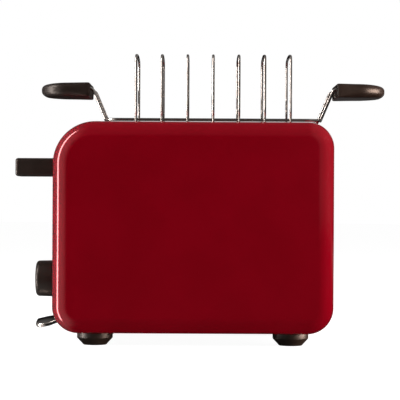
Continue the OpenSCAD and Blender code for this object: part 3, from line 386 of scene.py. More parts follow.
def merged(*shapes):
    points, faces = [], []
    for shapePoints, shapeFaces in shapes:
        shift = len(points)
        points += [Vector(p) for p in shapePoints]
        faces += [tuple(i + shift for i in face) for face in shapeFaces]
    return points, faces


# points of a flat arc, both ends included, angles in degrees
def arc(centre, r, start, end, steps):
    angles = [math.radians(start + (end - start) * i / steps) for i in range(steps + 1)]
    return [(centre[0] + r * math.cos(a), centre[1] + r * math.sin(a)) for a in angles]


# solid of revolution; the profile is pairs of radius and distance along the axis.
# It runs from pole to pole, or round a hole when neither end is on the axis
def lathe(profile, origin, axis, steps=64):
    axis = Vector(axis).normalized()
    side = axis.orthogonal().normalized()
    other = axis.cross(side)
    points = [Vector(origin) + axis * along + (side * u + other * v) * r
              for r, along in profile for u, v in arc((0, 0), 1, 0, 360, steps)[1:]]
    hollow = min(profile[0][0], profile[-1][0]) > 1e-6
    return points, joinRings(len(profile), steps, hollow, False)


wireEnd = {"length": 0.6, "angles": (89, 70, 45, 20)}  # length as a share of the radius


# round wire along a line of points, its ends slightly rounded
def wire(line, r, sides=16):
    line = [Vector(p) for p in line]
    last = len(line) - 1
    rings = []
    for i, centre in enumerate(line):
        head = (line[min(i + 1, last)] - line[max(i - 1, 0)]).normalized()
        if i in (0, last):
            back = wireEnd["length"] * (1 if i == 0 else -1)
            ends = [(centre + head * back * r * (1 - math.sin(a)), r * math.cos(a), head)
                    for a in map(math.radians, wireEnd["angles"])]
            rings += ends if i == 0 else ends[::-1]
        else:
            rings.append((centre, r, head))
    side = rings[0][2].orthogonal().normalized()
    circle = arc((0, 0), 1, 0, 360, sides)[1:]
    points = []
    for centre, size, head in rings:
        side = (side - head * side.dot(head)).normalized()
        up = head.cross(side)
        points += [centre + (side * u + up * v) * size for u, v in circle]
    return points, joinRings(len(rings), sides)


# block between two corners with every edge rounded
def softBlock(low, high, r, steps=4):
    low, high = Vector(low), Vector(high)
    r = min([r] + [(b - a) / 2 - 1e-6 for a, b in zip(low, high)])
    inner = [(a + r, b - r) for a, b in zip(low, high)]
    turns = [math.tan(math.pi / 4 * i / steps) for i in range(steps + 1)]
    ticks = [[a - r * t for t in reversed(turns)] + [b + r * t for t in turns] for a, b in inner]
    points, faces, found = [], [], {}

    def corner(*place):
        if place not in found:
            p = Vector([ticks[axis][place[axis]] for axis in range(3)])
            core = Vector([min(max(v, a), b) for v, (a, b) in zip(p, inner)])
            found[place] = len(points)
            points.append(core + (p - core).normalized() * r)
        return found[place]

    last = 2 * steps + 1
    for a in range(last):
        for b in range(last):
            for end in (0, last):
                square = [(a, b), (a + 1, b), (a + 1, b + 1), (a, b + 1)]
                faces.append([corner(end, u, v) for u, v in square])
                faces.append([corner(u, end, v) for u, v in square])
                faces.append([corner(u, v, end) for u, v in square])
    return points, faces


# straight rod along X
def rodAlongX(x0, x1, y, z, r, steps=48):
    return lathe([(0, x0), (r, x0), (r, x1), (0, x1)], (0, y, z), (1, 0, 0), steps)


# outline given in the two other axes, drawn out along one axis
def prism(outline, axis, low, high):
    at = "XYZ".index(axis)
    points = [(*p[:at], along, *p[at:]) for along in (low, high) for p in outline]
    return points, joinRings(2, len(outline))


def rectangle(a0, b0, a1, b1):
    return [(a0, b0), (a1, b0), (a1, b1), (a0, b1)]


# places

def middle(node):
    low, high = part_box(node)
    return (low + high) / 2


coverLow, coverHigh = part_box("front_cover")
leftX, rightX = coverLow.x, coverHigh.x
bottomZ, topZ = coverLow.z, coverHigh.z
frontY, rearY = coverLow.y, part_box("rear_cover")[1].y
coverDepth = coverHigh.y - coverLow.y
bodyX = (leftX + rightX) / 2
rackX = middle("rack_fins").x


# front and rear covers

covers = {"cornerRadius": 0.0245, "leverCornerRadius": 0.040, "edgeRadius": 0.0155, "wall": 0.0024,
          "lip": 0.0005, "lipEdge": 0.0003, "lipCorner": 0.00009, "faceRows": (0.001, 0.004),
          "cornerSteps": 20, "edgeSteps": 22, "insideSteps": 10}
bosses = {"fromMiddle": 0.060, "fromFace": 0.0235, "radius": 0.004, "bore": 0.0013, "height": 0.024,
          "edge": 0.0004, "capThick": 0.002, "foot": 0.003, "ribThick": 0.002, "ribLow": 0.0155,
          "ribEdge": 0.0003}


# stations round the covers' outline: place, outward direction and the cover's depth there
def coverStations():
    r, top = pick(covers, "cornerRadius leverCornerRadius")
    stations = []
    for x, z, radius, start in [(rightX - r, bottomZ + r, r, 270), (rightX - r, topZ - r, r, 0),
                                (leftX + top, topZ - top, top, 90), (leftX + r, bottomZ + r, r, 180)]:
        for out in arc((0, 0), 1, start, start + 90, covers["cornerSteps"]):
            stations.append((x + radius * out[0], z + radius * out[1], out, coverDepth))
    # the bottom edge is only as deep as its rounding, because the base plate closes the rest
    for x in (leftX + r, rightX - r):
        stations.append((x, bottomZ, (0, -1), covers["edgeRadius"]))
    return stations


# section of the rim: distance in from the outline, and depth from the face
def rimSection(depth):
    r, wall, lip, edge, corner = pick(covers, "edgeRadius wall lip lipEdge lipCorner")
    near, far = covers["faceRows"]
    outer = [(r + far, 0), (r + near, 0)] + arc((r, r), r, 270, 180, covers["edgeSteps"])
    outer = [(u, min(v, depth - lip)) for u, v in outer]
    rim = arc((lip, depth - lip), lip, 180, 90, 4)[1:]
    rim += [(wall - edge, depth), (wall - corner, depth - corner), (wall, depth - edge)]
    inner = arc((r, r), r - wall, 180, 270, covers["insideSteps"])
    return outer + rim + inner + [(r + near, wall), (r + far, wall)]


# each ring joins the same point of the section at every station; the caps are the face's two sides
def coverShell(face, inward):
    lines = [[(x - out[0] * u, face + inward * v, z - out[1] * u) for u, v in rimSection(depth)]
             for x, z, out, depth in coverStations()]
    return [p for ring in zip(*lines) for p in ring], joinRings(len(lines[0]), len(lines))


# screw post inside a cover, tied to the face by a rib
def coverBoss(side, face, inward):
    x, y = bodyX + side * bosses["fromMiddle"], face + inward * bosses["fromFace"]
    low = bottomZ + bosses["foot"]
    high = low + bosses["height"]
    r, bore, edge, capThick = pick(bosses, "radius bore edge capThick")
    profile = [(0, high), (r - edge, high), (r, high - edge), (r, low), (bore, low), (bore, high - capThick),
               (0, high - capThick)]
    post = lathe(profile, (x, y, 0), (0, 0, 1), 32)
    reach = sorted((y + inward * -r * 0.9, face + inward * covers["wall"] * 0.5))
    half, ribLow, ribEdge = bosses["ribThick"] / 2, bottomZ + bosses["ribLow"], bosses["ribEdge"]
    rib = softBlock((x - half, reach[0], ribLow), (x + half, reach[1], high), ribEdge, 2)
    return merged(post, rib)


for name, node, face, inward in [("cover_front", "front_cover", frontY, 1),
                                 ("cover_rear", "rear_cover", rearY, -1)]:
    posts = [coverBoss(side, face, inward) for side in (-1, 1)]
    makePiece(name, merged(coverShell(face, inward), *posts), node, sharp=50)
print("covers made")


# end panels

panels = {"wall": 0.002, "edge": 0.0006, "steps": 26}
lugs = {"inside": 0.0422, "outside": 0.051, "low": 0.003, "high": 0.008, "length": 0.012}
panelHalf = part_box("far_end_panel")[1].y


# the curved band of an end panel, from the foot of the body to its top; side is -1 at the lever end
def panelBand(side, highRadius):
    wall, edge = pick(panels, "wall edge")
    half = (rightX - leftX) / 2
    line = []
    lowRadius = covers["cornerRadius"]
    for radius, z, start in [(lowRadius, bottomZ + lowRadius, -90), (highRadius, topZ - highRadius, 0)]:
        line += [(half - radius + radius * u, z + radius * v, u, v)
                 for u, v in arc((0, 0), 1, start, start + 90, panels["steps"])]
    rim = [(panelHalf, wall)] + arc((panelHalf - edge, edge), edge, 0, -90, 4)
    rim += [(-y, t) for y, t in reversed(rim)]
    points = []
    for x, z, u, v in line:
        points += [(bodyX + side * (x - u * t), y, z - v * t) for y, t in rim]
    return points, joinRings(len(line), len(rim))


# the two feet of an end panel that the base screws hold
def panelLugs(side):
    r = covers["cornerRadius"]
    centre = (rightX - leftX) / 2 - r
    reach = r - panels["wall"] / 2
    low, high, inside, outside, length = pick(lugs, "low high inside outside length")
    curve = [(centre + math.sqrt(reach ** 2 - (r - z) ** 2), z) for z in (low, (low + high) / 2, high)]
    outline = [(bodyX + side * x, bottomZ + z)
               for x, z in [(centre - length, low), *curve, (centre - length, high)]]
    return merged(prism(outline, "Y", inside, outside), prism(outline, "Y", -outside, -inside))


leverPanel = {"slotHalf": 0.00275, "stemPlay": 0.0012, "shaftHole": 0.0036, "trayHalf": 0.0416,
              "trayLow": 0.0038, "trayHigh": 0.0136, "buttonPlay": 0.0002, "lampPlay": 0.0001,
              "cutFrom": -0.005, "cutTo": 0.010, "slotCutTo": 0.020, "trayCutTo": 0.0255}
standoffs = {"radius": 0.0035, "bore": 0.0013, "sink": 0.0001,
             "places": [(-0.040, 0.042), (0.040, 0.042), (0.040, 0.090), (-0.040, 0.153)]}
inletHole = {"radius": 0.006, "cutFrom": -0.010, "cutTo": 0.005}
stemHeight, leverDrop, leverRaise = 0.010, 0.062, 0.012
leverZ = middle("lever_handle").z
knobZ = middle("knob_collar").z
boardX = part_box("control_board")[0].x
buttonNodes = ["cancel_button", "reheat_button", "defrost_button"]
buttonY = middle("cancel_button").y
buttonRadius = 0.0055
lampY = middle("indicator_lamps").y
lampRadius = 0.0015


def makeLeverPanel():
    band = panelBand(-1, covers["leverCornerRadius"])
    piece = makePiece("end_panel_lever_side", merged(band, panelLugs(-1)), "lever_end_panel", sharp=40)
    start, end = leftX + leverPanel["cutFrom"], leftX + leverPanel["cutTo"]
    half, play, trayHalf, trayLow, trayHigh = pick(leverPanel, "slotHalf stemPlay trayHalf trayLow trayHigh")
    reach = stemHeight / 2 + play - half
    low, high = leverZ - leverDrop - reach, leverZ + leverRaise + reach
    slot = arc((0, high), half, 0, 180, 12) + arc((0, low), half, 180, 360, 12)
    tray = rectangle(-trayHalf, bottomZ + trayLow, trayHalf, bottomZ + trayHigh)
    holes = [prism(slot, "X", start, leftX + leverPanel["slotCutTo"]),
             prism(tray, "X", start, leftX + leverPanel["trayCutTo"]),
             rodAlongX(start, end, 0, knobZ, leverPanel["shaftHole"])]
    for node in buttonNodes:
        z = middle(node).z
        holes.append(rodAlongX(start, end, buttonY, z, buttonRadius + leverPanel["buttonPlay"]))
        holes.append(rodAlongX(start, end, lampY, z, lampRadius + leverPanel["lampPlay"], 24))
    cutOut(piece, holes, 40)
    r, bore, sink = pick(standoffs, "radius bore sink")
    root = leftX + panels["wall"] - sink
    posts = [lathe([(r, root), (r, boardX), (bore, boardX), (bore, root)], (0, y, z), (1, 0, 0), 32)
             for y, z in standoffs["places"]]
    work = bmesh.new()
    work.from_mesh(piece.data)
    extra = makeMesh("posts", *merged(*posts))
    work.from_mesh(extra)
    work.to_mesh(piece.data)
    work.free()
    bpy.data.meshes.remove(extra)
    shade(piece, 40)


def makeFarPanel():
    band = panelBand(1, covers["cornerRadius"])
    piece = makePiece("end_panel_far_side", merged(band, panelLugs(1)), "far_end_panel", sharp=40)
    inlet = middle("cord_gland")
    start, end, r = pick(inletHole, "cutFrom cutTo radius")
    cutOut(piece, [rodAlongX(rightX + start, rightX + end, inlet.y, inlet.z, r)], 40)


makeLeverPanel()
makeFarPanel()
print("end panels made")


# top plate

topPlate = {"roll": 0.0012, "sheet": 0.0012, "lip": 0.0008, "lipDrop": 0.0062, "slotLength": 0.142,
            "slotWidth": 0.028, "slotY": 0.020, "slotCorner": 0.005, "foldDrop": 0.008, "foldRoll": 0.0006,
            "lipEdge": 0.0003, "cornerSteps": 12}


# outline of a slot, grown by a margin, with the cell's outline that each of its points faces
def slotOutline(side, margin, cell):
    half = topPlate["slotLength"] / 2 + margin
    halfWidth = topPlate["slotWidth"] / 2 + margin
    r, steps = topPlate["slotCorner"] + margin, topPlate["cornerSteps"]
    points, outer = [], []
    for sideX, sideY, start in [(1, 1, 0), (-1, 1, 90), (-1, -1, 180), (1, -1, 270)]:
        cx, cy = rackX + sideX * (half - r), side * topPlate["slotY"] + sideY * (halfWidth - r)
        farX, farY = cell[1 + sideX], cell[2 + sideY]
        for i, p in enumerate(arc((cx, cy), r, start, start + 90, steps)):
            points.append(p)
            # first half of the arc faces one side of the cell's corner, second half the other side
            along = abs(2 * i / steps - 1)
            if (i < steps / 2) == (start in (0, 180)):
                outer.append((farX, farY + (cy - farY) * along))
            else:
                outer.append((farX + (cx - farX) * along, farY))
    return points, outer


def makeTopPlate():
    low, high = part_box("top_plate")
    under, bottom = topZ - topPlate["sheet"], topZ - topPlate["lipDrop"]
    roll, lip, r, lipEdge = pick(topPlate, "roll lip foldRoll lipEdge")
    foldLow, flat = topZ - topPlate["foldDrop"], high.y - r
    shapes = []
    # margin from the slot and height: over the rolled lip and round its lower edge
    section = arc((roll, topZ - roll), roll, 90, 180, 8)
    section += [(0, bottom + lipEdge), (lipEdge / 3, bottom + lipEdge / 3), (lipEdge, bottom),
                (lip - lipEdge, bottom), (lip - lipEdge / 3, bottom + lipEdge / 3), (lip, bottom + lipEdge),
                (lip, under)]
    for side in (-1, 1):
        # the half of the plate that a slot is in, from one edge on top to the same edge below
        cell = (low.x, min(0, side * flat), high.x, max(0, side * flat))
        rings = []
        for margin, z in section:
            ring, outer = slotOutline(side, margin, cell)
            rings.append([(x, y, z) for x, y in ring])
        rings = [[(x, y, topZ) for x, y in outer]] + rings + [[(x, y, under) for x, y in outer]]
        faces = joinRings(len(rings), len(outer), caps=False)
        shapes.append(([p for ring in rings for p in ring], faces))
        # fold along a long side; the edge that the plate joins stays open
        outline = [(flat, under)] + arc((flat, topZ - r), r, 90, 0, 4)
        outline += [(high.y, foldLow), (high.y - lip, foldLow), (high.y - lip, under)]
        size = len(outline)
        faces = [(j, (j + 1) % size, size + (j + 1) % size, size + j) for j in range(1, size - 1)]
        faces += [tuple(reversed(range(size))), tuple(range(size, 2 * size))]
        shapes.append(([(x, side * y, z) for x in (low.x, high.x) for y, z in outline], faces))
        # the plate's two short edges
        shapes += [([(x, 0, under), (x, side * flat, under), (x, side * flat, topZ), (x, 0, topZ)],
                    [(0, 1, 2, 3)]) for x in (low.x, high.x)]
    makePiece("top_deck", merged(*shapes), "top_plate", sharp=40)


makeTopPlate()
print("top made")


# feet

feet = {"radius": 0.0168, "tip": 0.01125, "slopeHeight": 0.0063, "recess": 0.005, "recessDepth": 0.005,
        "hole": 0.0018, "edge": 0.0008, "topEdge": 0.0003, "recessEdge": 0.0004}


def makeFoot(node):
    place = middle(node)
    r, tip, slope, edge, topEdge = pick(feet, "radius tip slopeHeight edge topEdge")
    hole, recess, recessEdge, depth = pick(feet, "hole recess recessEdge recessDepth")
    profile = [(hole, bottomZ), (r - topEdge, bottomZ), (r, bottomZ - topEdge), (r, slope + edge),
               (r - edge * 0.12, slope + edge * 0.35), (r - edge * 0.5, slope - edge * 0.35),
               (tip + edge * 0.4, edge * 1.1), (tip + edge * 0.05, edge * 0.6),
               (tip - edge * 0.2, edge * 0.2), (tip - edge * 0.7, 0), (recess + recessEdge, 0),
               (recess, recessEdge), (recess, depth), (hole, depth)]
    shape = lathe(profile, (place.x, place.y, 0), (0, 0, 1), 72)
    makePiece(node.replace("foot", "foot_turned"), shape, node, sharp=40)


for node in frame["nodes"]:
    if node.startswith("foot_") and node != "foot_screws":
        makeFoot(node)
print("feet made")


# lever handle

lever = {"edge": 0.0026, "stemHalf": 0.002, "stemDepth": 0.014, "cutPast": 0.001}


def makeLever():
    low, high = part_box("lever_handle")
    piece = makePiece("lever_grip", softBlock(low, high, lever["edge"], 6), "lever_handle")
    half, z = lever["stemHalf"], (low.z + high.z) / 2
    outline = rectangle(-half, z - stemHeight / 2, half, z + stemHeight / 2)
    cutOut(piece, [prism(outline, "X", high.x - lever["stemDepth"], high.x + lever["cutPast"])])


makeLever()


# browning knob, its collar and scale

knob = {"radius": 0.0177, "taper": 0.0004, "edge": 0.0034, "baseEdge": 0.001, "dome": 0.001, "bore": 0.003,
        "boreDepth": 0.012, "boreEdge": 0.0003, "grooveHalf": 0.0006, "grooveDepth": 0.001,
        "grooveLength": 0.005, "grooveEdge": 0.0002, "cutPast": 0.002, "lineStart": 0.0003,
        "lineEnd": 0.0022, "lineEdge": 0.0001}
collar = {"width": 0.008, "edge": 0.0006, "band": 0.0017, "step": 0.0005, "slope": 0.0004}
scale = {"inside": 0.0222, "outside": 0.0250, "marks": 9, "sweep": 270, "proud": 0.00012, "sink": 0.0001,
         "wide": 0.0009, "wideLast": 0.0017}


def makeKnob():
    low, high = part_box("browning_knob")
    r, edge, dome, taper, baseEdge = pick(knob, "radius edge dome taper baseEdge")
    bore, boreDepth, boreEdge = pick(knob, "bore boreDepth boreEdge")
    face, flat = high.x - low.x - dome, r - edge - taper
    profile = [(0, boreDepth), (bore, boreDepth), (bore, boreEdge), (bore + boreEdge, 0)]
    profile += arc((r - baseEdge, baseEdge), baseEdge, -90, 0, 4)
    profile += arc((flat, face - edge), edge, 2, 86, 10)
    profile += [(flat * k, face + dome * (1 - k * k))
                for k in (0.98, 0.9, 0.8, 0.65, 0.5, 0.35, 0.2, 0.08, 0)]
    piece = makePiece("knob_turned", lathe(profile, (high.x, 0, knobZ), (-1, 0, 0), 96), "browning_knob")
    half, depth, length, grooveEdge = pick(knob, "grooveHalf grooveDepth grooveLength grooveEdge")
    past, lineStart, lineEnd, lineEdge = pick(knob, "cutPast lineStart lineEnd lineEdge")
    inner, outer, faceX = knobZ + r - length, knobZ + r, high.x - face
    groove = softBlock((low.x - past, -half, inner), (faceX + depth, half, outer + past), grooveEdge, 2)
    cutOut(piece, [groove])
    line = softBlock((faceX + depth * 0.5, -half * 0.85, inner + lineStart),
                     (faceX + depth * 1.2, half * 0.85, outer - lineEnd), lineEdge, 2)
    makePiece("knob_pointer", line, body="knob", slot="terminal_white")


def makeCollar():
    low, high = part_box("knob_collar")
    width, e, band, step, slope = pick(collar, "width edge band step slope")
    outer, depth = (high.z - low.z) / 2, high.x - low.x
    inner, sunk = outer - width, depth - step
    profile = [(inner, 0), (outer, 0), (outer, depth - e), (outer - e * 0.3, depth - e * 0.3),
               (outer - e, depth), (outer - band, depth), (outer - band - slope, sunk), (inner + e, sunk),
               (inner, sunk - e)]
    makePiece("knob_ring", lathe(profile, (high.x, 0, knobZ), (-1, 0, 0), 96), "knob_collar")


# plain marks round the knob, wider towards the darkest setting
def makeScale():
    marks = []
    inside, outside, count, sweep, wide, wideLast = pick(scale, "inside outside marks sweep wide wideLast")
    for k in [i / (count - 1) for i in range(count)]:
        a = math.radians(90 - sweep / 2 + sweep * k)
        half = (wide + (wideLast - wide) * k) / 2
        out, across = Vector((0, -math.cos(a), math.sin(a))), Vector((0, math.sin(a), math.cos(a)))
        points = [Vector((x, 0, knobZ)) + out * u + across * v
                  for x in (leftX + scale["sink"], leftX - scale["proud"])
                  for u, v in rectangle(inside, -half, outside, half)]
        marks.append((points, joinRings(2, 4)))
    makePiece("browning_scale", merged(*marks), body="housing", slot="terminal_white")


makeKnob()
makeCollar()
makeScale()
print("knob made")


# buttons and lamps

buttons = {"flange": 0.0065, "flangeDepth": 0.0015, "stem": 0.0015, "edge": 0.0007, "dish": 0.00035,
           "dishEdge": 0.00002, "panelToFlange": 0.0022, "mark": 0.0018, "markWire": 0.0002}
lens = [(0, 0), (0.45, 0.00005), (0.78, 0.00018), (0.95, 0.0004), (1, 0.0008)]  # share of the radius, depth


# a slightly dished cap, its flange behind the panel and its stem down to the switch
def makeButton(node):
    low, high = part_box(node)
    r, start = buttonRadius, leftX - low.x + buttons["panelToFlange"]
    e, dish, dishEdge, stem, flange = pick(buttons, "edge dish dishEdge stem flange")
    end = start + buttons["flangeDepth"]
    profile = [(0, dish), (r * 0.3, dish * 0.85), (r * 0.6, dish * 0.4), (r - 1.6 * e, dishEdge)]
    profile += arc((r - e, e), e, -90, 0, 5)
    profile += [(r, start), (flange, start), (flange, end), (stem, end), (stem, high.x - low.x),
                (0, high.x - low.x)]
    origin = Vector((low.x, buttonY, middle(node).z))
    makePiece(node.replace("_button", "_cap"), lathe(profile, origin, (1, 0, 0), 56), node)
    makePiece(node.replace("_button", "_sign"), buttonSign(node, origin + Vector((dish, 0, 0))),
              body=frame["nodes"][node]["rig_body"], slot="terminal_white")


# generic signs: a cross to stop, two waves to reheat, a frost star to thaw
def buttonSign(kind, place):
    size = buttons["mark"]
    spokes = {"cancel_button": [45, 135], "defrost_button": [30, 90, 150]}.get(kind, [])
    lines = []
    if kind == "reheat_button":
        lines += [[(size * (shift + 0.25 * math.sin(math.pi * k / 6)), size * (k / 6 - 1))
                   for k in range(13)] for shift in (-0.45, 0.45)]
    for a in map(math.radians, spokes):
        lines.append([(size * k * math.cos(a), size * k * math.sin(a)) for k in (-1, -0.5, 0, 0.5, 1)])
        if kind == "defrost_button":
            lines += [[(size * end * (0.62 * math.cos(a) + k * 0.34 * math.cos(a + turn)),
                        size * end * (0.62 * math.sin(a) + k * 0.34 * math.sin(a + turn)))
                       for k in (0, 0.5, 1)] for end in (-1, 1) for turn in (-0.6, 0.6)]
    return merged(*[wire([place + Vector((0, y, z)) for y, z in line], buttons["markWire"], 8)
                    for line in lines])


def makeLamps():
    low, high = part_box("indicator_lamps")
    r, length = lampRadius, high.x - low.x
    profile = [(r * share, depth) for share, depth in lens] + [(r, length), (0, length)]
    domes = [lathe(profile, (low.x, lampY, middle(node).z), (1, 0, 0), 28) for node in buttonNodes]
    makePiece("lamp_lenses", merged(*domes), "indicator_lamps")


for node in buttonNodes:
    makeButton(node)
makeLamps()
print("buttons made")


# crumb tray pull

pull = {"length": 0.0204, "thick": 0.0038, "nose": 0.0022, "slope": 13.5, "half": 0.030, "corner": 0.009,
        "lift": 0.0086, "root": 0.0085, "crown": 0.0044, "side": 0.0017, "frontHalf": 0.041,
        "frontLow": 0.0044, "frontHigh": 0.013, "webStart": 0.0065, "webEdge": 0.0004,
        "crownReach": 0.008, "sideShare": 0.35, "steps": 24, "noseSteps": 16}


# grip plate, crowned from side to side, its outer corners rounded, sloping down from the panel
def pullGrip():
    slope = math.radians(pull["slope"])
    length = (pull["length"] - pull["nose"]) / math.cos(slope)
    r, root, steps, halfThick = *pick(pull, "corner root steps"), pull["thick"] / 2
    points = []
    # stations are closer together near the two sides, where the outline turns
    for y in [-math.cos(math.pi * i / steps) * pull["half"] for i in range(steps + 1)]:
        inset = pull["half"] - abs(y)
        back = r - math.sqrt(max(r * r - (r - inset) ** 2, 0)) if inset < r else 0
        # plate thins towards its two side edges, to a share of its thickness
        edge, share = min(inset / pull["side"], 1), pull["sideShare"]
        half = halfThick * (share + (1 - share) * math.sqrt(1 - (1 - edge) ** 2))
        crown = pull["crown"] * (0.5 - (y / pull["half"]) ** 2)
        tip = -length + back
        noseR = half * pull["nose"] / halfThick
        flat = [root, 0, tip * 0.5, tip + noseR * 1.2]
        ring = [(u, -half) for u in flat] + arc((tip, 0), noseR, 240, 120, pull["noseSteps"])
        ring += [(u, half) for u in reversed(flat)]
        for u, v in ring:
            # flat where it enters the panel
            v += crown * min(max(0.5 - u / pull["crownReach"], 0), 1)
            points.append((leftX + u * math.cos(slope) - v * math.sin(slope), y,
                           bottomZ + pull["lift"] + u * math.sin(slope) + v * math.cos(slope)))
    return points, joinRings(steps + 1, len(ring))


# plate that closes the opening, following the panel's curve, and the web back to the tray
def pullFront():
    r, (start, end, half) = covers["cornerRadius"], pick(pull, "frontLow frontHigh frontHalf")
    heights = [start + (end - start) * i / 8 for i in range(9)]
    outside, inside = [[(leftX + r - math.sqrt(max(reach * reach - (r - z) ** 2, 0)), bottomZ + z)
                        for z in heights] for reach in (r, r - panels["wall"])]
    plate = prism(outside + inside[::-1], "Y", -half, half)
    low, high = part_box("crumb_tray")
    webX, webEdge, half = pick(pull, "webStart webEdge half")
    web = softBlock((leftX + webX, -half, low.z), (low.x, half, high.z), webEdge, 2)
    return merged(plate, web)


makePiece("tray_grip", merged(pullGrip(), pullFront()), "tray_pull", sharp=45)
print("tray pull made")


# cord gland

gland = {"flange": 0.009, "flangeThick": 0.003, "neck": 0.006, "neckLength": 0.008, "bore": 0.0038,
         "edge": 0.0008, "lip": 0.0018, "lipEdge": 0.0004, "mouth": 0.0006, "throatEdge": 0.0001,
         "throatFrom": 0.0008, "throatTo": 0.0014}


def makeGland():
    place = middle("cord_gland")
    r, e, out, neck, length = pick(gland, "flange edge flangeThick neck neckLength")
    bore, lip, lipEdge, mouth = pick(gland, "bore lip lipEdge mouth")
    throatEdge, throatFrom, throatTo = pick(gland, "throatEdge throatFrom throatTo")
    profile = [(neck, -length), (neck, 0), (r, 0)] + arc((r - e, out - e), e, 0, 90, 3)
    profile += [(bore + lip + lipEdge, out), (bore + lip, out - lipEdge), (bore + mouth, out - lipEdge),
                (bore + throatEdge, out - throatFrom), (bore, out - throatTo), (bore, -length)]
    makePiece("inlet_gland", lathe(profile, (rightX, place.y, place.z), (1, 0, 0), 64), "cord_gland")


makeGland()


# warming rack

rack = {"railLift": 0.0036, "railHalf": 0.1032, "railRadius": 0.012, "railY": 0.0358, "wireRadius": 0.0015,
        "twistRadius": 0.0025, "handleY": 0.02125, "lean": 23, "bendRadius": 0.005, "handleLift": 0.0327,
        "wireLift": 0.0015, "handleInner": 0.1197, "wireDepth": 0.012, "bendSteps": 8}
fins = {"count": 7, "pitch": 0.0246, "y": 0.038, "height": 0.06848, "cornerRadius": 0.007,
        "crownRadius": 0.245, "wireRadius": 0.00122, "footGap": 0.0003, "weldRadius": 0.00085}


# one rail, from a handle down to the frame's corner, along the body and up into the other handle
def railLine(side):
    lean, steps = math.radians(rack["lean"]), rack["bendSteps"]
    up = Vector((math.sin(lean), 0, math.cos(lean)))
    z = topZ + rack["railLift"]
    length, width, corner = pick(rack, "railHalf railY railRadius")
    half = [Vector((length * k, side * width, z)) for k in (0, 0.3, 0.6)]
    half += [Vector((x, y, z))
             for x, y in arc((length - corner, side * (width - corner)), corner, side * 90, 0, 12)]
    # twist from the corner into the slope
    r = rack["twistRadius"]
    start = Vector((length, side * (rack["handleY"] + r), z))
    half += [start + up * (r - v) - Vector((0, side * u, 0)) for v, u in arc((0, 0), r, 0, 90, steps)[1:]]
    foot = start + up * r - Vector((0, side * r, 0))
    # slope, bend and the level end inside the handle
    bend = rack["bendRadius"]
    handleZ = topZ + rack["handleLift"] + rack["wireLift"]
    top = foot + up * (handleZ - foot.z - bend * (1 - math.sin(lean))) / math.cos(lean)
    half += [foot + (top - foot) * k for k in (0.35, 0.7, 1)]
    centre = top + Vector((math.cos(lean), 0, -math.sin(lean))) * bend
    half += [centre + Vector((u, 0, v)) for u, v in arc((0, 0), bend, 180 - rack["lean"], 90, steps)[1:]]
    reach = rack["handleInner"] + rack["wireDepth"] - half[-1].x
    half += [Vector((half[-1].x + reach * k, half[-1].y, handleZ)) for k in (0.5, 1)]
    line = [Vector((-p.x, p.y, p.z)) for p in reversed(half[1:])] + half
    return [p + Vector((rackX, 0, 0)) for p in line]


def finLine(x):
    halfWidth, r, crown = pick(fins, "y cornerRadius crownRadius")
    lean = math.degrees(math.asin((halfWidth - r) / (crown - r)))
    crownCentre = topZ + fins["height"] - fins["wireRadius"] - crown
    cornerZ = crownCentre + (crown - r) * math.cos(math.radians(lean))
    low = topZ + fins["footGap"]
    half = arc((0, crownCentre), crown, 90, 90 - lean, 4)[:-1]
    half += arc((halfWidth - r, cornerZ), r, 90 - lean, 0, 14)
    half += [(halfWidth, low + (cornerZ - low) * k) for k in (0.6, 0.3, 0)]
    return [(x, -y, z) for y, z in reversed(half[1:])] + [(x, y, z) for y, z in half]


def makeRack():
    rails = [wire(railLine(side), rack["wireRadius"], 20) for side in (-1, 1)]
    makePiece("rack_rails", merged(*rails), "rack_frame", sharp=60)
    # small nugget where each leg is welded to a rail
    nugget = arc((0, 0), fins["weldRadius"], -90, 90, 8)
    hoops, welds = [], []
    for i in range(fins["count"]):
        x = rackX + (i - (fins["count"] - 1) / 2) * fins["pitch"]
        hoops.append(wire(finLine(x), fins["wireRadius"], 18))
        for side in (-1, 1):
            place = (x, side * (fins["y"] - fins["wireRadius"]), topZ + rack["railLift"])
            welds.append(lathe(nugget, place, (1, 0, 0), 14))
    makePiece("rack_hoops", merged(*hoops), "rack_fins", sharp=60)
    makePiece("rack_welds", merged(*welds), body="warming_rack", slot="chrome_wire", sharp=80)


makeRack()

handles = {"thick": 0.0134, "outerCorner": 0.024, "innerCorner": 0.0025, "edge": 0.0058,
           "innerEdge": 0.0013, "soften": 0.020, "fallStart": 0.3, "fallTop": 0.0013, "fallBelow": 0.0005,
           "cornerSteps": 18, "innerSteps": 6, "sideSteps": 10, "profileSteps": 9}


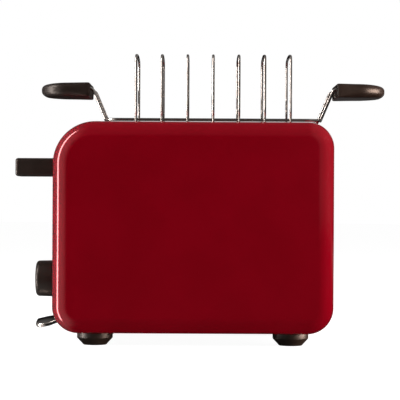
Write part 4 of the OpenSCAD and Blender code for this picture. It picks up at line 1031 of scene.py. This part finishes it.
# handle with a flat inner end and a round outer end, thinner and softer towards the outer end
def makeHandle(node):
    low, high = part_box(node)
    side = 1 if low.x > rackX else -1
    start = low.x if side > 0 else high.x
    length, half = high.x - low.x, high.y
    z, halfThick = (low.z + high.z) / 2, handles["thick"] / 2
    outer, inner, cornerSteps, innerSteps = pick(handles, "outerCorner innerCorner cornerSteps innerSteps")
    # points of the outline, each with its outward direction
    outline = []

    def turn(x, y, r, begin, steps):
        directions = arc((0, 0), 1, begin, begin + 90, steps)
        outline.extend(((x + r * u, y + r * v), (u, v)) for u, v in directions)

    def run(y, shares):
        outline.extend(((inner + (length - outer - inner) * k, y), (0, y / half)) for k in shares)

    spots = [k / handles["sideSteps"] for k in range(1, handles["sideSteps"])]
    turn(length - outer, outer - half, outer, -90, cornerSteps)
    turn(length - outer, half - outer, outer, 0, cornerSteps)
    run(half, spots[::-1])
    turn(inner, half - inner, inner, 90, innerSteps)
    turn(inner, inner - half, inner, 180, innerSteps)
    run(-half, spots)
    steps, fallStart = pick(handles, "profileSteps fallStart")
    points = []
    for i in range(-steps, steps + 1):
        a = math.radians(90 * i / steps)
        for (u, v), (nu, nv) in outline:
            blend = min(u / handles["soften"], 1)
            blend = blend * blend * (3 - 2 * blend)
            edge = handles["innerEdge"] + (handles["edge"] - handles["innerEdge"]) * blend
            inset = edge * (1 - math.cos(a))
            # rings above the middle one are lifted and those below it lowered by the side's flat part
            up = (halfThick - edge) * ((i > 0) - (i < 0)) + edge * math.sin(a)
            out = max(u / length - fallStart, 0) / (1 - fallStart)
            up *= 1 - out * out * handles["fallTop" if up > 0 else "fallBelow"] / halfThick
            points.append((start + side * (u - nu * inset), v - nv * inset, z + up))
    shape = (points, joinRings(2 * steps + 1, len(outline)))
    makePiece(node.replace("handle", "grip"), shape, node, sharp=40)


makeHandle("rack_handle_lever_side")
makeHandle("rack_handle_far_side")
print("warming rack made")


# return spring

spring = {"turns": 12, "wireRadius": 0.00065, "stepsPerTurn": 28, "closedTurn": 1.15, "stroke": leverDrop}


# coil spring round the guide rod, made at one fixed length, though the real one shortens as the carriage
# goes down
def makeSpring():
    low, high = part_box("return_spring")
    place = middle("return_spring")
    r, turns = spring["wireRadius"], spring["turns"]
    coil, rise = (high.y - low.y) / 2 - r, high.z - low.z - 2 * r
    closed = spring["closedTurn"] * 2 * r
    pitch = (rise - 2 * closed) / (turns - 2)
    line = []
    for i in range(turns * spring["stepsPerTurn"] + 1):
        turn = i / spring["stepsPerTurn"]
        climb = closed * turn if turn < 1 else closed + pitch * (turn - 1)
        if turn > turns - 1:
            climb = rise - closed * (turns - turn)
        a = 2 * math.pi * turn
        line.append((place.x + coil * math.cos(a), place.y + coil * math.sin(a), low.z + r + climb))
    piece = makePiece("return_coil", wire(line, r, 8), "return_spring", sharp=70)
    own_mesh(piece)


makeSpring()
print("return spring made")


# carried-over nodes

for node, piece in frame["nodes"].items():
    piece.data.materials.clear()
    piece.data.materials.append(finishes[slotOf[node]])
print("nodes finished")


# light

# glows are strengths, and the pairs say where each begins and is full, along the direction looked in
studio = {"background": 1, "ambient": 0.13, "leftGlow": 0.90, "left": (0.18, 0.85), "leftSlant": 0.55,
          "rightGlow": 0.23, "right": (0.02, 0.32), "rearLoss": 0.8, "rear": (-0.1, 0.7),
          "low": (-1.0, -0.85), "topGlow": 0.10, "top": (0.15, 0.5), "backGlow": 0.8, "back": (0.75, 0.90),
          "backLow": (0.14, 0.30), "backHigh": (0.35, 0.60), "backSide": (-0.10, -0.02)}


# white to the camera; what mirrors the room sees soft glows at both sides, above and behind
def makeWorld():
    world = bpy.data.worlds.new("studio")
    bpy.context.scene.world = world
    world.use_nodes = True
    graph = Graph(world.node_tree)

    def edge(value, key):
        return graph.step(value, *studio[key])

    seen, mirror = graph.add("LightPath", {}, {}, "Is Camera Ray"), graph.mirrored()
    direction = graph.add("TexCoord", {}, {}, "Generated")
    x, y, z = [graph.axis(direction, name) for name in "XYZ"]
    left = studio["leftGlow"] * edge(studio["leftSlant"] * graph.clamp(-1 * z) - x, "left")
    right = studio["rightGlow"] * edge(x, "right")
    sides = (left + right) * (1 - studio["rearLoss"] * edge(y, "rear")) * edge(z, "low")
    behind = edge(y, "back") * edge(z, "backLow") * (1 - edge(z, "backHigh")) * edge(x, "backSide")
    glow = sides + studio["topGlow"] * edge(z, "top") + studio["backGlow"] * behind
    strength = studio["background"] * seen + (1 - seen) * (mirror * glow + (1 - mirror) * studio["ambient"])
    shine = graph.add("Background", {}, {"Color": (1, 1, 1), "Strength": strength})
    graph.add("OutputWorld", {}, {"Surface": shine})


makeWorld()


# a mesh that lights the room or stands under the object, and isn't part of it
def makeStage(name, points, build):
    mesh = bpy.data.meshes.new(name)
    mesh.from_pydata(points, [], [tuple(range(len(points)))])
    mesh.materials.append(makeMaterial(name, build))
    stage = addObject(name, mesh)
    return stage


floor = {"size": 8, "leftEdge": -2.0, "shine": 0.2, "glow": 0.955, "color": (0.24, 0.24, 0.24),
         "darkColor": (0.004, 0.004, 0.004), "bounce": 0.62, "clearEdge": (-0.145, -0.110),
         "shineStart": (0.15, 1.2), "shineEnd": (1.6, 2.6)}


# pale floor: white to the camera but for the object's shadow, dark in front to whatever mirrors it,
# and clear to mirrors beyond the lever end
def floorSurface(graph):
    seen, mirror = graph.add("LightPath", {}, {}, "Is Camera Ray"), graph.mirrored()
    spot = graph.add("NewGeometry", {}, {}, "Position")
    depth = graph.axis(spot, "Y")
    far = graph.step(depth, *floor["shineStart"]) * (1 - graph.step(depth, *floor["shineEnd"]))
    clear = mirror * (1 - graph.step(graph.axis(spot, "X"), *floor["clearEdge"]))
    bounced = mirror * (floor["shine"] * far) + (1 - mirror) * floor["bounce"]
    light = graph.add("Emission", {}, {"Color": (1, 1, 1),
                                       "Strength": seen * floor["glow"] + (1 - seen) * bounced})
    matte, dark = [graph.add("BsdfDiffuse", {}, {"Color": floor[key]}) for key in ("color", "darkColor")]
    shown = graph.add("MixShader", {}, {0: mirror, 1: matte, 2: dark})
    both = graph.add("AddShader", {}, {0: light, 1: shown})
    return graph.add("MixShader", {}, {0: clear, 1: both, 2: graph.add("BsdfTransparent")})


size, leftEdge = pick(floor, "size leftEdge")
makeStage("floor", [(x, y, 0) for x, y in rectangle(leftEdge, -size, size, size)], floorSurface)

# places and sizes in metres, powers in watts. The warm accents reach only the pieces whose names begin
# with what they light, and are mirrored there: the soft highlights of the feet and the far handle
lamps = {
    "left": {"place": (-1.2, -0.15, 0.42), "size": (0.9, 0.9), "power": 6},
    "right": {"place": (1.15, -0.31, 0.45), "size": (0.9, 0.9), "power": 32},
    "over": {"place": (0, -0.35, 1.3), "size": (1.2, 0.8), "power": 8.3},
    "behind": {"place": (0, 1.3, 0.9), "size": (1.2, 0.8), "power": 9},
    "accent_feet": {"place": (1.25, -0.31, 0.12), "size": (0.8, 0.3), "power": 55, "lights": "foot_turned"},
    "accent_grip": {"place": (1.30, -0.60, 0.30), "size": (1.3, 0.5), "power": 46,
                    "lights": "rack_grip_far_side"},
}
target = Vector((0, 0, 0.12))
warm = (1, 0.84, 0.74)


def makeLamp(name, values):
    data = bpy.data.lights.new(name, "AREA")
    data.shape = "RECTANGLE"
    data.size, data.size_y = values["size"]
    data.energy = values["power"]
    lamp = addObject(name, data)
    place = Vector(values["place"])
    turn = (target - place).to_track_quat("-Z", "Y")
    lamp.matrix_world = Matrix.Translation(place) @ turn.to_matrix().to_4x4()
    lamp.visible_camera = False
    lamp.visible_glossy = "lights" in values
    if "lights" in values:
        data.color = warm
        lit = bpy.data.collections.new(name + "_pieces")
        for piece in bpy.data.objects:
            if piece.name.startswith(values["lights"]):
                lit.objects.link(piece)
        lamp.light_linking.receiver_collection = lit


for name, values in lamps.items():
    makeLamp(name, values)

strip = {"x": -0.60, "y": -0.160, "halfWidth": 0.05, "low": -0.46, "high": 1.15, "point": 0.15,
         "fade": 0.12, "taper": 0.30, "power": 20, "color": (1, 0.985, 0.97)}


def stripSurface(graph):
    low, high, fade, taper = pick(strip, "low high fade taper")
    height = graph.axis(graph.add("NewGeometry", {}, {}, "Position"), "Z")
    fade = graph.step(height, low, low + fade) * (1 - graph.step(height, high - taper, high))
    return graph.add("Emission", {}, {"Color": strip["color"], "Strength": strip["power"] * fade})


# tall narrow light beside the lever end, fading at its ends: the thin bright line down the cover's edge
def makeStrip():
    y, half, low, high, point, taper = pick(strip, "y halfWidth low high point taper")
    outline = [(y - half, low + point), (y, low), (y + half, low + point), (y + half, high - taper),
               (y, high), (y - half, high - taper)]
    piece = makeStage("strip_light", [(strip["x"], a, b) for a, b in outline], stripSurface)
    piece.visible_camera = False


makeStrip()
bpy.context.scene.view_settings.view_transform = "Standard"
print("light made")
